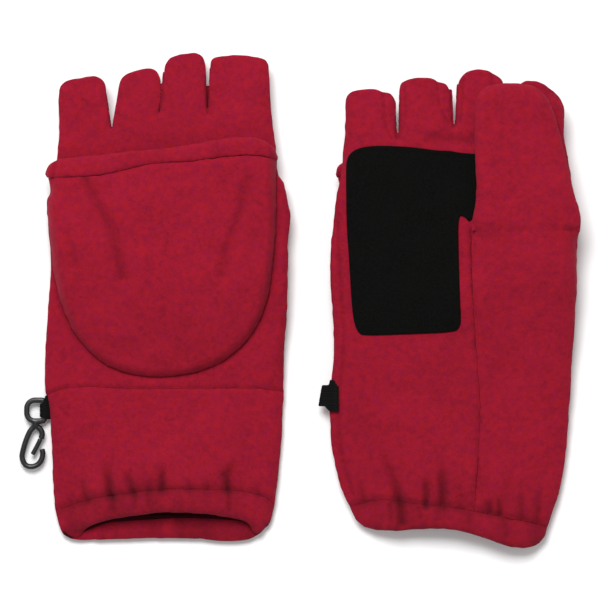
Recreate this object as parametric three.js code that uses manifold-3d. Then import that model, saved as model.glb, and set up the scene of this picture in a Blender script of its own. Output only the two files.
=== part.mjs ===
// A pair of convertible flip-top fleece mittens, lying flat.
// Millimetres, +Z up, +Y towards the fingertips.
//
// Both mittens are drawn in one working frame: back of the hand up, z = 0 on the outer face of the palm.
// The left mitten lies on its palm. The right mitten lies on its back, so it is turned over at the end.
import * as THREE from 'three';
import Module from 'manifold-3d';
import { mergeVertices } from 'three/addons/utils/BufferGeometryUtils.js';

const wasm = await Module();
wasm.setup();

// cloth and gaps
const FLEECE = 1.8;
const GAP = 0.3;
const WALL = 1.4;
const TUCK = 0.25;
const SIDE_POINTS = 16;
const SHEET_STEP_Y = 14;
const SHEET_COLUMNS = 6;

// glove body
const GLOVE_HEIGHT = 7;
const SIDE_SEAM_Z = GLOVE_HEIGHT / 2;
const SIDE_SEAM_GAP = 0.6;
const CUFF_TOP_Y = -43.4;
const HEM_TOP_Y = -103.5;
const MOUTH_Y = -115;
const FAR = 300;
const FINEST = 0.06;
const FINGER_ROOT_Y = 76;
const FINGER_CORNER = 3.5;
const CORNER_CUT = 0.3;
const GAP_HALF_WIDTH = 0.5;

// grip patch and thumb
const PATCH_THICKNESS = 0.9;
const PATCH_Z = -GAP - PATCH_THICKNESS;
const THUMB_HEIGHT = 6;
const THUMB_TOP_Z = PATCH_Z - GAP;
const THUMB_BOTTOM_Z = THUMB_TOP_Z - THUMB_HEIGHT;
const THUMB_SEAM_Z = THUMB_TOP_Z - THUMB_HEIGHT / 2;
const THUMB_BASE_Y = 33;
const THUMB_CLEARANCE = 1;

// flip-top hood
const HOOD_BACK_Z = GLOVE_HEIGHT + GAP;
const HOOD_INSIDE = 8;
const HOOD_HEIGHT = 2 * FLEECE + HOOD_INSIDE;
const HOOD_TOP_Z = HOOD_BACK_Z + HOOD_HEIGHT;
const HOOD_SEAM_GAP = 0.6;
const HOOD_SEAM_Z = HOOD_BACK_Z + HOOD_HEIGHT / 2;
const KNUCKLE_Y = 68;
const HOOD_BACK_EDGE_Y = KNUCKLE_Y - 0.6;
const HOOD_HEM_Y = 60;
const HOOD_HEM_WIDTH = 8;
const HOOD_HEM_HEIGHT = 3.8;
const HOOD_HEM_LEFT = -58.5;
const HOOD_HEM_RIGHT = 53;
const HOOD_SLOT = [6.8, 1.7];
const HOOD_ELASTIC = [5.4, 1];

// cuff hem: a folded channel round the mouth, with the elastic inside
const HEM_FOLD = 1;
const HEM_CHANNEL = 1.5;
const HEM_INNER = 0.7;
const HEM_OVERLAP = 2.5;
const SLEEVE_FLATS = 6;
const SLEEVE_TURN = [[0.6, 0.82], [1, 0.4]];
const ELASTIC_THICKNESS = 0.9;
const ELASTIC_CLEARANCE = 0.3;

// drape: how far each layer moves off the flat
const HOOD_TAPER = HOOD_HEIGHT + GAP;
const HOOD_TAPER_SPAN = [20, -90];
const THUMB_DROP_SPAN = [20, -60];
const CUFF_BULGE = 8;
const CUFF_BULGE_SPAN = [-35, -100];
const CUFF_HALF_WIDTH = 48.5;
const BULGE_REACH = 0.2;
const HEM_FADE_SPAN = [-60, -102];
const HOOD_SLANT = 10;
const HOOD_SLANT_SPAN = [-55, 40];
const HOOD_SLANT_END = 7;
const HOOD_SLANT_END_SPAN = [40, 54];
const HOOD_SLANT_FADE = [30, 58];
const GUSSET_RISE_Y = [-25, 30];
const GUSSET_RISE_X = [9, 24];

// snap hook
const HOOK_ROD = 1.3;
const HOOK_NECK_ROD = 1.7;
const TONGUE_ROD = 1.1;
const ROD_SIDES = 8;
const EYE_ROD = 1.2;
const EYE_BEVEL = 0.5;
const EYE_CENTRE = [-63.75, -53.3];
const EYE_HALF_SIZE = [5.35, 6.25];
const EYE_OUTER_CORNERS = [1.7, 4.7];
const EYE_INNER_CORNERS = [1.1, 3.2];
const HOOK_NECK = [[-63.8, -58.4], [-63.8, -59.8], [-63.8, -61.2]];
const HOOK_ARM = [[-64, -60.6], [-65.8, -62.4], [-67.9, -66.6], [-69.6, -72], [-70.2, -75.6],
  [-68.7, -79.4], [-65.8, -80.4], [-62.4, -79.2], [-60.5, -76.2], [-60.2, -73.6], [-60.5, -71.9]];
const HOOK_SHOULDER = [[-63.7, -60.6], [-61.6, -61.9], [-60.4, -64.3], [-60.8, -66.1], [-61.15, -66.75]];
const HOOK_TONGUE = [[-61.3, -67.05], [-62.5, -69.6], [-63.9, -72.2], [-65.1, -74.4]];

// hang loops
const LOOP_TAIL = 1.3;
const LOOP_TURN = 0.35;

const LEFT = {
  name: 'left',
  x: -63.8,
  turned: false,
  fingers: [
    { name: 'little', left: -51.8, right: -29.6, top: [104.6, 107] },
    { name: 'ring', left: -22.6, right: -3.4, top: [106.5, 109.8] },
    { name: 'middle', left: -1.9, right: 18.4, top: [115.5, 117.8] },
    { name: 'index', left: 20.6, right: 49.4, top: [117.6, 116] },
  ],
  crotches: [[-26.4, 83], [-3.9, 90], [19.4, 89]],
  littleSide: [[-51.8, 100], [-52, 85], [-53.5, 70], [-56.5, 55], [-57.6, 42], [-55.6, 27], [-56.2, 0],
    [-57.8, -24], [-58, -44], [-56.2, -53], [-54.7, -72], [-53.3, -91], [-52.2, -104]],
  indexSide: [[49.4, 110], [50.2, 91], [50.8, 77], [53, 62], [57.4, 52], [59.4, 40], [58.5, 28], [58, 0],
    [57, -24], [56.2, -44], [55.7, -62], [54.2, -81], [52.6, -96], [52.2, -104]],
  hemDip: [[-54, 4], [-49, 1], [-41, 0], [30, -1.4], [42, 0], [49, 1.6], [54, 4.6]],
  mouthArch: 11,
  loop: {
    root: -57.4, tip: -61.7, height: 4.2, y: -53.3, width: 6.4, spread: 0.3, rise: 0.2, slant: 0,
    eye: [-59.6, 1.5, 1.5],
  },
  hook: true,
};

const RIGHT = {
  name: 'right',
  x: 75.4,
  turned: true,
  fingers: [
    { name: 'little', left: -53, right: -29.6, top: [99.5, 101.3] },
    { name: 'ring', left: -27.6, right: -2.6, top: [105, 106.6] },
    { name: 'middle', left: 0, right: 21.5, top: [109.4, 109.6] },
    { name: 'index', left: 23.4, right: 50, top: [108.6, 104] },
  ],
  crotches: [[-28.6, 77], [-1.3, 83], [22.4, 84]],
  littleSide: [[-53, 96], [-53.2, 80], [-54, 68], [-57, 52], [-59, 38], [-61, 13], [-60.6, 0], [-59.3, -17],
    [-59, -34], [-60.3, -56], [-60.3, -66], [-58.6, -80], [-54.7, -94], [-52.2, -104]],
  indexSide: [[50, 98], [50.4, 90], [50.8, 76], [54, 63], [57.4, 51], [59, 41], [58.6, 31], [57.6, 0],
    [56.2, -24], [54.7, -57], [53.3, -77], [52, -93], [52.2, -104]],
  hemDip: [[-54, 9], [-49, 6.2], [-42, 5], [-24, 4.2], [-4, 4.6], [7, 3], [19, -0.8], [32, -4.4], [38, -3],
    [44, 0.5], [49, 2.6], [54, 4.6]],
  mouthArch: 0,
  loop: {
    root: -61.2, tip: -65.8, height: 4.2, y: -46, width: 10.2, spread: 0.53, rise: 0, slant: 0.17,
    eye: [-63.6, 1.4, 1.1],
  },
  hook: false,
};

const LONG_SEAM = [[8.2, -104], [10, -77], [11.4, -51], [9.6, -30], [7.7, 0], [6.7, 17], [5, THUMB_BASE_Y]];
const PATCH_LOW = [[-45.5, -16.3], [-49, -13], [-51.8, 21], [-53.4, 38], [-53.2, 41.5]];
const PATCH_RIGHT_X = 1;
const PATCH_CORNER = 3;
const PATCH_HIGH = [[-53.4, 39], [-53, 55], [-50.8, 69], [-47.5, 72.8], [-31.7, 73.9], [-5.8, 72],
  [8.2, 70.2], [48.5, 66.5], [52, 60], [55.4, 50], [55.6, 41.5], [3, 41.5], [0.9, 39]];
const HOOD_END_Y = -37;
const HOOD_OUTLINE = [[-53.5, 67.4], [-55.6, 56], [-55.6, 29], [-53.6, 10], [-49.2, -2], [-44.8, -14],
  [-36.5, -25], [-25.9, -32.2], [-14.9, -36], [-6, -37], [4, -37], [11, -35.8], [23.5, -32.2],
  [34.6, -25.5], [43.8, -14], [49, -2], [52, 12], [53, 29], [53.6, 47], [53.4, 67.4]];
const HOOD_ROWS = [HOOD_END_Y + TUCK, -35.6, -32.2, -25, -14, -2, 10, 20, 29, 43, 56];
const HOOD_HEM_STEPS = 7;
const THUMB_OUTLINE = [[9, 32], [8.4, 60], [8.6, 91], [15.2, 101], [26, 103.4], [36, 101.6], [44, 96],
  [47.4, 88], [51, 67], [54.4, 54], [58, 44], [58.4, 32]];
const THUMB_TIP_POINTS = 22;

const COLOURS = {
  fleece: { color: 0xa91f2f, roughness: 0.95, metalness: 0 },
  seamFleece: { color: 0x8f1a28, roughness: 0.95, metalness: 0 },
  patch: { color: 0x151516, roughness: 0.9, metalness: 0 },
  webbing: { color: 0x1a1a1c, roughness: 0.8, metalness: 0 },
  elastic: { color: 0xd9d6cf, roughness: 0.85, metalness: 0 },
  plastic: { color: 0x0f0f11, roughness: 0.35, metalness: 0 },
};

// ---- small geometry tools ----

function ease(value, from, to) {
  return THREE.MathUtils.smoothstep((value - from) / (to - from), 0, 1);
}

function lookUp(table, x) {
  if (x <= table[0][0]) return table[0][1];
  for (let i = 1; i < table.length; i += 1) {
    const [x0, y0] = table[i - 1];
    const [x1, y1] = table[i];
    if (x <= x1) return y0 + (y1 - y0) * (x - x0) / (x1 - x0);
  }
  return table[table.length - 1][1];
}

function vectors(points) {
  return points.map(([x, y]) => new THREE.Vector2(x, y));
}

function smooth(points, count) {
  return new THREE.SplineCurve(vectors(points)).getSpacedPoints(count);
}

// the same run of points, moved to the left of its direction of travel
function beside(run, distance) {
  return run.map((point, i) => {
    const into = new THREE.Vector2().subVectors(point, run[Math.max(i - 1, 0)]);
    const out = new THREE.Vector2().subVectors(run[Math.min(i + 1, run.length - 1)], point);
    if (i === 0) into.copy(out);
    if (i === run.length - 1) out.copy(into);
    into.normalize();
    out.normalize();
    const along = into.add(out).normalize();
    const mitre = distance / Math.max(along.dot(out), 0.5);
    return new THREE.Vector2(point.x - along.y * mitre, point.y + along.x * mitre);
  });
}

function ribbon(run, width) {
  return [...run, ...beside(run, width).reverse()];
}

// a closed solid from a geometry; drape moves its points first
function solid(geometry, drape) {
  const bare = geometry.clone();
  bare.deleteAttribute('normal');
  bare.deleteAttribute('uv');
  const merged = mergeVertices(bare, 1e-4);
  const position = merged.attributes.position;
  if (drape) {
    const point = new THREE.Vector3();
    for (let i = 0; i < position.count; i += 1) {
      point.fromBufferAttribute(position, i);
      drape(point);
      position.setXYZ(i, point.x, point.y, point.z);
    }
  }
  return new wasm.Manifold(new wasm.Mesh({
    numProp: 3,
    vertProperties: new Float32Array(position.array),
    triVerts: new Uint32Array(merged.index.array),
  }));
}

// cutting can leave dust and slivers behind: only the largest body is kept, with its slivers closed up
function geometryOf(body) {
  const whole = body.decompose().sort((a, b) => b.volume() - a.volume())[0].simplify(FINEST);
  const mesh = whole.getMesh();
  const geometry = new THREE.BufferGeometry();
  geometry.setAttribute('position', new THREE.BufferAttribute(new Float32Array(mesh.vertProperties), 3));
  geometry.setIndex(new THREE.BufferAttribute(new Uint32Array(mesh.triVerts), 1));
  return geometry;
}

// a plate between two heights, from an outline of points
function plate(points, bottom, top, drape) {
  const options = { depth: top - bottom, bevelEnabled: false };
  const geometry = new THREE.ExtrudeGeometry(new THREE.Shape(points), options);
  geometry.translate(0, 0, bottom);
  return solid(geometry, drape);
}

// a plate between two side lines, with rows of points at the given y stations so that it can bend;
// its sides are tucked in a little, so that a wall standing on them covers them
function sheet(stations, leftAt, rightAt, bottom, top, drape) {
  const rows = stations.length - 1;
  const geometry = new THREE.BoxGeometry(1, rows, top - bottom, SHEET_COLUMNS, rows, 1);
  geometry.translate(0.5, rows / 2, (bottom + top) / 2);
  const position = geometry.attributes.position;
  for (let i = 0; i < position.count; i += 1) {
    const y = stations[Math.round(position.getY(i))];
    position.setX(i, THREE.MathUtils.lerp(leftAt(y) + TUCK, rightAt(y) - TUCK, position.getX(i)));
    position.setY(i, y);
  }
  return solid(geometry, drape);
}

// an upright wall of even thickness along a run of points, with a row of its own at each point
function wall(run, width, bottom, top, drape) {
  const rows = run.length - 1;
  const inner = beside(run, width);
  const geometry = new THREE.BoxGeometry(1, rows, top - bottom, 1, rows, 1);
  geometry.translate(0.5, rows / 2, (bottom + top) / 2);
  const position = geometry.attributes.position;
  for (let i = 0; i < position.count; i += 1) {
    const line = position.getX(i) > 0.5 ? run : inner;
    const point = line[Math.round(position.getY(i))];
    position.setX(i, point.x);
    position.setY(i, point.y);
  }
  return solid(geometry, drape);
}

function stationsBetween(from, to) {
  const count = Math.ceil((to - from) / SHEET_STEP_Y);
  return Array.from({ length: count + 1 }, (_, i) => THREE.MathUtils.lerp(from, to, i / count));
}

function box(x0, x1, y0, y1, z0, z1) {
  const geometry = new THREE.BoxGeometry(x1 - x0, y1 - y0, z1 - z0);
  geometry.translate((x0 + x1) / 2, (y0 + y1) / 2, (z0 + z1) / 2);
  return solid(geometry);
}

// a flattened bar with rounded sides, run along Y; its flats carry points so that they can bow
function sleeve(halfWidth, halfHeight, y0, y1, drape) {
  const straight = halfWidth - halfHeight;
  const stations = Array.from({ length: SLEEVE_FLATS + 1 }, (_, i) => 2 * i / SLEEVE_FLATS - 1);
  const flats = stations.map((station) => [straight * station, 1]);
  const turn = SLEEVE_TURN.map(([out, height]) => [straight + out * halfHeight, height]);
  const section = [...turn.map(([x, height]) => [-x, height]).reverse(), ...flats, ...turn];
  const columns = section.length - 1;
  const geometry = new THREE.BoxGeometry(columns, y1 - y0, 2 * halfHeight, columns, 1, 1);
  geometry.translate(columns / 2, (y0 + y1) / 2, 0);
  const position = geometry.attributes.position;
  for (let i = 0; i < position.count; i += 1) {
    const [x, height] = section[Math.round(position.getX(i))];
    position.setX(i, x);
    position.setZ(i, SIDE_SEAM_Z + position.getZ(i) * height);
  }
  return solid(geometry, drape);
}

// a round rod along a path
function rod(points, radius, steps) {
  const path = new THREE.CatmullRomCurve3(points.map(([x, y]) => new THREE.Vector3(x, y, 0)));
  const section = new THREE.Shape();
  section.absarc(0, 0, radius, 0, Math.PI * 2, false);
  const options = { steps, extrudePath: path, curveSegments: ROD_SIDES / 2 };
  return solid(new THREE.ExtrudeGeometry(section, options));
}

// ---- drape ----

function gloveShift(mitten, y) {
  if (mitten.turned) return HOOD_TAPER * ease(y, ...HOOD_TAPER_SPAN);
  return THUMB_BOTTOM_Z * ease(y, ...THUMB_DROP_SPAN);
}

// the glove: the cuff settles to the table, its free side bows out, and the hem follows its own line
function gloveDrape(mitten) {
  const free = mitten.turned ? -1 : 1;
  return (p) => {
    const side = THREE.MathUtils.clamp(free * (p.z - SIDE_SEAM_Z) / BULGE_REACH, 0, 1);
    const across = Math.max(1 - (p.x / CUFF_HALF_WIDTH) ** 2, 0);
    const fade = ease(p.y, ...HEM_FADE_SPAN);
    const bulge = CUFF_BULGE * across * ease(p.y, ...CUFF_BULGE_SPAN) * side * free;
    const settled = gloveShift(mitten, p.y);
    p.y += fade * (lookUp(mitten.hemDip, p.x) + mitten.mouthArch * across * side);
    p.z += settled + bulge;
  };
}

// the thumb-side panel also rises to meet the thumb it runs into
function gussetDrape(mitten) {
  const drape = gloveDrape(mitten);
  const reach = SIDE_SEAM_Z - FLEECE;
  return (p) => {
    const palmSide = THREE.MathUtils.clamp((SIDE_SEAM_Z - p.z) / reach, 0, 1);
    const rise = -THUMB_BOTTOM_Z * ease(p.y, ...GUSSET_RISE_Y) * ease(p.x, ...GUSSET_RISE_X);
    drape(p);
    p.z -= rise * palmSide;
  };
}

// the hood: thin at its closed end, with a slanted mouth
function hoodDrape(mitten) {
  return (p) => {
    const outer = THREE.MathUtils.clamp((p.z - HOOD_BACK_Z - FLEECE) / HOOD_INSIDE, 0, 1);
    const slant = HOOD_SLANT * ease(p.x, ...HOOD_SLANT_SPAN)
      - HOOD_SLANT_END * ease(p.x, ...HOOD_SLANT_END_SPAN);
    const thinning = HOOD_TAPER * ease(p.y, ...HOOD_TAPER_SPAN);
    const settled = gloveShift(mitten, p.y);
    p.y += outer * slant * ease(p.y, ...HOOD_SLANT_FADE);
    p.z += settled - outer * thinning;
  };
}

// ---- making the meshes ----

function makeMesh(mitten, name, body, colour) {
  const geometry = geometryOf(body);
  if (mitten.turned) {
    geometry.scale(1, 1, -1);
    const index = geometry.index;
    for (let i = 0; i < index.count; i += 3) {
      const second = index.getX(i + 1);
      index.setX(i + 1, index.getX(i + 2));
      index.setX(i + 2, second);
    }
  }
  geometry.translate(mitten.x, 0, mitten.turned ? HOOD_TOP_Z : -THUMB_BOTTOM_Z);
  geometry.computeVertexNormals();
  const mesh = new THREE.Mesh(geometry, new THREE.MeshStandardMaterial(COLOURS[colour]));
  mesh.name = `${mitten.name}_${name}`;
  return mesh;
}

// the outline of the finger stubs from the little finger to the index finger, with the gaps between them
function fingerEdge(mitten) {
  const points = [];
  mitten.fingers.forEach((finger, i) => {
    const { left, right, top } = finger;
    const near = FINGER_CORNER * CORNER_CUT;
    const from = i === 0 ? left + TUCK : left;
    const to = i === mitten.crotches.length ? right - TUCK : right;
    points.push([from, top[0] - FINGER_CORNER]);
    points.push([left + near, top[0] - near]);
    points.push([left + FINGER_CORNER, top[0]]);
    points.push([right - FINGER_CORNER, top[1]]);
    points.push([right - near, top[1] - near]);
    points.push([to, top[1] - FINGER_CORNER]);
    if (i < mitten.crotches.length) {
      const [x, y] = mitten.crotches[i];
      points.push([x - GAP_HALF_WIDTH, y], [x + GAP_HALF_WIDTH, y]);
    }
  });
  return vectors(points);
}

function glovePieces(mitten) {
  const drape = gloveDrape(mitten);
  const little = smooth(mitten.littleSide, SIDE_POINTS);
  const index = smooth(mitten.indexSide, SIDE_POINTS);
  const leftTable = little.map((point) => [point.y, point.x]).reverse();
  const rightTable = index.map((point) => [point.y, point.x]).reverse();
  const leftAt = (y) => lookUp(leftTable, y);
  const rightAt = (y) => lookUp(rightTable, y);
  const panelEnd = HEM_TOP_Y - HEM_OVERLAP;
  const rows = stationsBetween(panelEnd, FINGER_ROOT_Y);
  const fingersFrom = FINGER_ROOT_Y - 1;
  const fingers = [
    new THREE.Vector2(leftAt(fingersFrom) + TUCK, fingersFrom),
    ...fingerEdge(mitten),
    new THREE.Vector2(rightAt(fingersFrom) - TUCK, fingersFrom),
  ];
  const rims = (z0, z1, bend) => wall(little, WALL, z0, z1, bend)
    .add(wall([...index].reverse(), WALL, z0, z1, bend));
  const half = Math.abs(mitten.littleSide[mitten.littleSide.length - 1][0]);
  const ring = (inset, y0, y1) => sleeve(half - inset, SIDE_SEAM_Z - inset, y0, y1, drape);
  const hemSpace = ring(-GAP, MOUTH_Y, HEM_TOP_Y + GAP);
  const panel = (z0, z1, rim0, rim1, bend) => sheet(rows, leftAt, rightAt, z0, z1, bend)
    .add(plate(fingers, z0, z1, bend))
    .add(rims(rim0, rim1, bend))
    .subtract(hemSpace);

  const backRim = [SIDE_SEAM_Z + SIDE_SEAM_GAP / 2, GLOVE_HEIGHT - TUCK];
  const back = panel(GLOVE_HEIGHT - FLEECE, GLOVE_HEIGHT, ...backRim, drape);
  const hand = back.intersect(box(-FAR, FAR, CUFF_TOP_Y + GAP / 2, FAR, -FAR, FAR));
  const cuff = back.intersect(box(-FAR, FAR, -FAR, CUFF_TOP_Y - GAP / 2, -FAR, FAR));

  const seam = smooth(LONG_SEAM, 12);
  const thumbSide = plate([...seam, new THREE.Vector2(FAR, THUMB_BASE_Y), new THREE.Vector2(FAR, -FAR),
    new THREE.Vector2(seam[0].x, -FAR)], -FAR, FAR);
  const seamGap = plate(ribbon([...seam, new THREE.Vector2(FAR, THUMB_BASE_Y)], GAP), -FAR, FAR);
  const palmRim = [TUCK, SIDE_SEAM_Z - SIDE_SEAM_GAP / 2];
  const palm = panel(0, FLEECE, ...palmRim, drape).subtract(thumbSide).subtract(seamGap);
  const gusset = panel(0, FLEECE, ...palmRim, gussetDrape(mitten)).intersect(thumbSide);

  const patchRows = stationsBetween(PATCH_LOW[0][1], PATCH_LOW[PATCH_LOW.length - 1][1]);
  const patchLeft = (y) => lookUp(PATCH_LOW.map(([x, at]) => [at, x]), y);
  const patchCorner = (y) => 1 - ease(y, patchRows[0], patchRows[0] + PATCH_CORNER);
  const patchRight = (y) => PATCH_RIGHT_X - PATCH_CORNER * patchCorner(y);
  const patch = sheet(patchRows, patchLeft, patchRight, PATCH_Z, -GAP, drape)
    .add(plate(vectors(PATCH_HIGH), PATCH_Z, -GAP, drape));

  const pieces = [
    makeMesh(mitten, 'hand_back', hand, 'fleece'),
    makeMesh(mitten, 'cuff_back', cuff, 'fleece'),
    makeMesh(mitten, 'palm_panel', palm, 'fleece'),
    makeMesh(mitten, 'thumb_side_panel', gusset, 'fleece'),
    makeMesh(mitten, 'palm_patch', patch, 'patch'),
  ];

  // fourchettes: side walls of the fingers, one strip down one finger, round the gap and up the next
  mitten.crotches.forEach(([x, y], i) => {
    const before = mitten.fingers[i];
    const after = mitten.fingers[i + 1];
    const run = vectors([
      [before.right, before.top[1] - FINGER_CORNER],
      [x - GAP_HALF_WIDTH, y],
      [x + GAP_HALF_WIDTH, y],
      [after.left, after.top[0] - FINGER_CORNER],
    ]);
    const strip = plate(ribbon(run.reverse(), WALL), FLEECE + GAP, GLOVE_HEIGHT - FLEECE - GAP);
    pieces.push(makeMesh(mitten, `fourchette_${before.name}_${after.name}`, strip, 'seamFleece'));
  });

  // the hem is folded round the elastic: outer layer, fold at the mouth, inner layer
  const over = 1;
  const channel = ring(HEM_FOLD, MOUTH_Y + HEM_FOLD, HEM_TOP_Y + over)
    .subtract(ring(HEM_FOLD + HEM_CHANNEL, MOUTH_Y, HEM_TOP_Y + 2 * over));
  const hem = ring(0, MOUTH_Y, HEM_TOP_Y)
    .subtract(ring(HEM_FOLD + HEM_CHANNEL + HEM_INNER, MOUTH_Y - over, HEM_TOP_Y + over))
    .subtract(channel);
  const elasticInset = HEM_FOLD + ELASTIC_CLEARANCE;
  const elasticTop = HEM_TOP_Y - 3 * over;
  const elastic = ring(elasticInset, MOUTH_Y + HEM_FOLD + over, elasticTop)
    .subtract(ring(elasticInset + ELASTIC_THICKNESS, MOUTH_Y, elasticTop + over));
  pieces.push(makeMesh(mitten, 'cuff_hem', hem, 'fleece'));
  pieces.push(makeMesh(mitten, 'cuff_elastic', elastic, 'elastic'));
  return pieces;
}

function hoodPieces(mitten) {
  const drape = hoodDrape(mitten);
  const corner = HOOD_OUTLINE.findIndex(([, y]) => y === HOOD_END_Y);
  const leftTable = HOOD_OUTLINE.slice(0, corner + 1).map(([x, y]) => [y, x]).reverse();
  const rightTable = HOOD_OUTLINE.slice(corner + 1).map(([x, y]) => [y, x]);
  const leftAt = (y) => lookUp(leftTable, y);
  const rightAt = (y) => lookUp(rightTable, y);
  const frontEdge = HOOD_HEM_Y - GAP;
  const rimEdge = HOOD_HEM_Y - 2;
  const backRows = [...HOOD_ROWS, HOOD_BACK_EDGE_Y];
  const frontRows = [...HOOD_ROWS, frontEdge];
  const rim = vectors(HOOD_OUTLINE);
  rim[0].set(leftAt(rimEdge), rimEdge);
  rim[rim.length - 1].set(rightAt(rimEdge), rimEdge);
  const back = sheet(backRows, leftAt, rightAt, HOOD_BACK_Z, HOOD_BACK_Z + FLEECE, drape)
    .add(wall(rim, WALL, HOOD_BACK_Z + TUCK, HOOD_SEAM_Z - HOOD_SEAM_GAP / 2, drape));
  const front = sheet(frontRows, leftAt, rightAt, HOOD_TOP_Z - FLEECE, HOOD_TOP_Z, drape)
    .add(wall(rim, WALL, HOOD_SEAM_Z + HOOD_SEAM_GAP / 2, HOOD_TOP_Z - TUCK, drape));

  // a rounded bar along X; its ends can be drawn out past the mouth of the hood, or held back from it
  const bar = (width, height, reach) => {
    const left = HOOD_HEM_LEFT;
    const right = HOOD_HEM_RIGHT;
    const section = new THREE.Shape();
    const radius = height / 2;
    const straight = width / 2 - radius;
    section.absarc(straight, 0, radius, -Math.PI / 2, Math.PI / 2, false);
    section.absarc(-straight, 0, radius, Math.PI / 2, Math.PI * 1.5, false);
    const options = { depth: right - left, steps: HOOD_HEM_STEPS, bevelEnabled: false, curveSegments: 3 };
    const geometry = new THREE.ExtrudeGeometry(section, options);
    geometry.rotateX(Math.PI / 2);
    geometry.rotateZ(Math.PI / 2);
    geometry.translate(left, HOOD_HEM_Y + HOOD_HEM_WIDTH / 2, HOOD_TOP_Z - HOOD_HEM_HEIGHT / 2);
    const position = geometry.attributes.position;
    for (let i = 0; i < position.count; i += 1) {
      const x = position.getX(i);
      if (x < left + 1) position.setX(i, left - reach);
      if (x > right - 1) position.setX(i, right + reach);
    }
    return solid(geometry, drape);
  };
  const over = 2;
  const hem = bar(HOOD_HEM_WIDTH, HOOD_HEM_HEIGHT, 0).subtract(bar(...HOOD_SLOT, over));
  const elastic = bar(...HOOD_ELASTIC, -over);
  return [
    makeMesh(mitten, 'hood_back', back, 'fleece'),
    makeMesh(mitten, 'hood_front', front, 'fleece'),
    makeMesh(mitten, 'hood_hem', hem, 'fleece'),
    makeMesh(mitten, 'hood_elastic', elastic, 'elastic'),
  ];
}

function thumbPieces(mitten) {
  const outline = smooth(THUMB_OUTLINE, THUMB_TIP_POINTS);
  const rim = [...outline].reverse();
  const start = box(-FAR, FAR, THUMB_BASE_Y + THUMB_CLEARANCE, FAR, -FAR, FAR);
  const front = plate(outline, THUMB_BOTTOM_Z, THUMB_BOTTOM_Z + FLEECE)
    .add(wall(rim, WALL, THUMB_BOTTOM_Z, THUMB_SEAM_Z - GAP / 2))
    .intersect(start);
  const back = plate(outline, THUMB_TOP_Z - FLEECE, THUMB_TOP_Z)
    .add(wall(rim, WALL, THUMB_SEAM_Z + GAP / 2, THUMB_TOP_Z))
    .intersect(start);
  return [
    makeMesh(mitten, 'thumb_front', front, 'fleece'),
    makeMesh(mitten, 'thumb_back', back, 'fleece'),
  ];
}

// a strip of webbing folded over, its ends held in the side seam; it spreads towards the seam
function hangLoop(mitten) {
  const { root, tip, height, y, width, spread, rise, slant, eye } = mitten.loop;
  const radius = height / 2;
  const shape = new THREE.Shape();
  shape.moveTo(root, -LOOP_TAIL);
  shape.lineTo(root, LOOP_TAIL);
  shape.absarc(tip + radius, 0, radius, Math.PI * LOOP_TURN, Math.PI * (2 - LOOP_TURN), false);
  const hole = new THREE.Path();
  hole.absellipse(eye[0], 0, eye[1], eye[2], 0, Math.PI * 2, false, 0);
  shape.holes.push(hole);
  const options = { depth: width, bevelEnabled: false, curveSegments: 8 };
  const geometry = new THREE.ExtrudeGeometry(shape, options);
  geometry.rotateX(Math.PI / 2);
  geometry.translate(0, y + width / 2, SIDE_SEAM_Z + gloveShift(mitten, y));
  const flare = (p) => {
    const near = ease(p.x, tip + radius, root);
    p.x += slant * (p.y - y) * (1 - near);
    p.y = y + (p.y - y) * (1 + spread * near) + rise * near;
  };
  return makeMesh(mitten, 'hang_loop', solid(geometry, flare), 'webbing');
}

// the outline of the hook's D-shaped eye: tight corners on the straight side that the webbing goes round
function eyeOutline(path, inset, [tight, wide]) {
  const side = EYE_HALF_SIZE[0] - inset;
  const top = EYE_HALF_SIZE[1] - inset;
  path.absarc(side - tight, top - tight, tight, 0, Math.PI / 2, false);
  path.absarc(wide - side, top - wide, wide, Math.PI / 2, Math.PI, false);
  path.absarc(wide - side, wide - top, wide, Math.PI, Math.PI * 1.5, false);
  path.absarc(side - tight, tight - top, tight, Math.PI * 1.5, Math.PI * 2, false);
  return path;
}

function snapHook(mitten) {
  const outline = eyeOutline(new THREE.Shape(), EYE_BEVEL, EYE_OUTER_CORNERS);
  outline.holes.push(eyeOutline(new THREE.Path(), 2 * EYE_ROD - EYE_BEVEL, EYE_INNER_CORNERS));
  const eye = new THREE.ExtrudeGeometry(outline, {
    depth: 2 * (EYE_ROD - EYE_BEVEL),
    bevelThickness: EYE_BEVEL,
    bevelSize: EYE_BEVEL,
    bevelSegments: 1,
    curveSegments: 5,
  });
  eye.translate(...EYE_CENTRE, EYE_BEVEL - EYE_ROD);
  const body = solid(eye)
    .add(rod(HOOK_NECK, HOOK_NECK_ROD, 2))
    .add(rod(HOOK_ARM, HOOK_ROD, 22))
    .add(rod(HOOK_SHOULDER, HOOK_ROD, 7));
  const tongue = rod(HOOK_TONGUE, TONGUE_ROD, 5);
  const level = SIDE_SEAM_Z + gloveShift(mitten, mitten.loop.y);
  return [['hook', body], ['hook_tongue', tongue]].map(([name, part]) => {
    const mesh = makeMesh(mitten, name, part, 'plastic');
    mesh.geometry.translate(0, 0, level);
    mesh.name = name;
    return mesh;
  });
}

const pair = new THREE.Group();
pair.name = 'flip_top_mittens';
[LEFT, RIGHT].forEach((mitten) => {
  pair.add(...glovePieces(mitten), ...hoodPieces(mitten), ...thumbPieces(mitten), hangLoop(mitten));
  if (mitten.hook) pair.add(...snapHook(mitten));
});

// origin: middle of the bottom of the whole pair
const extent = new THREE.Box3().setFromObject(pair);
const centre = extent.getCenter(new THREE.Vector3());
pair.children.forEach((mesh) => mesh.geometry.translate(-centre.x, -centre.y, -extent.min.z));

export default pair;
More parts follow.
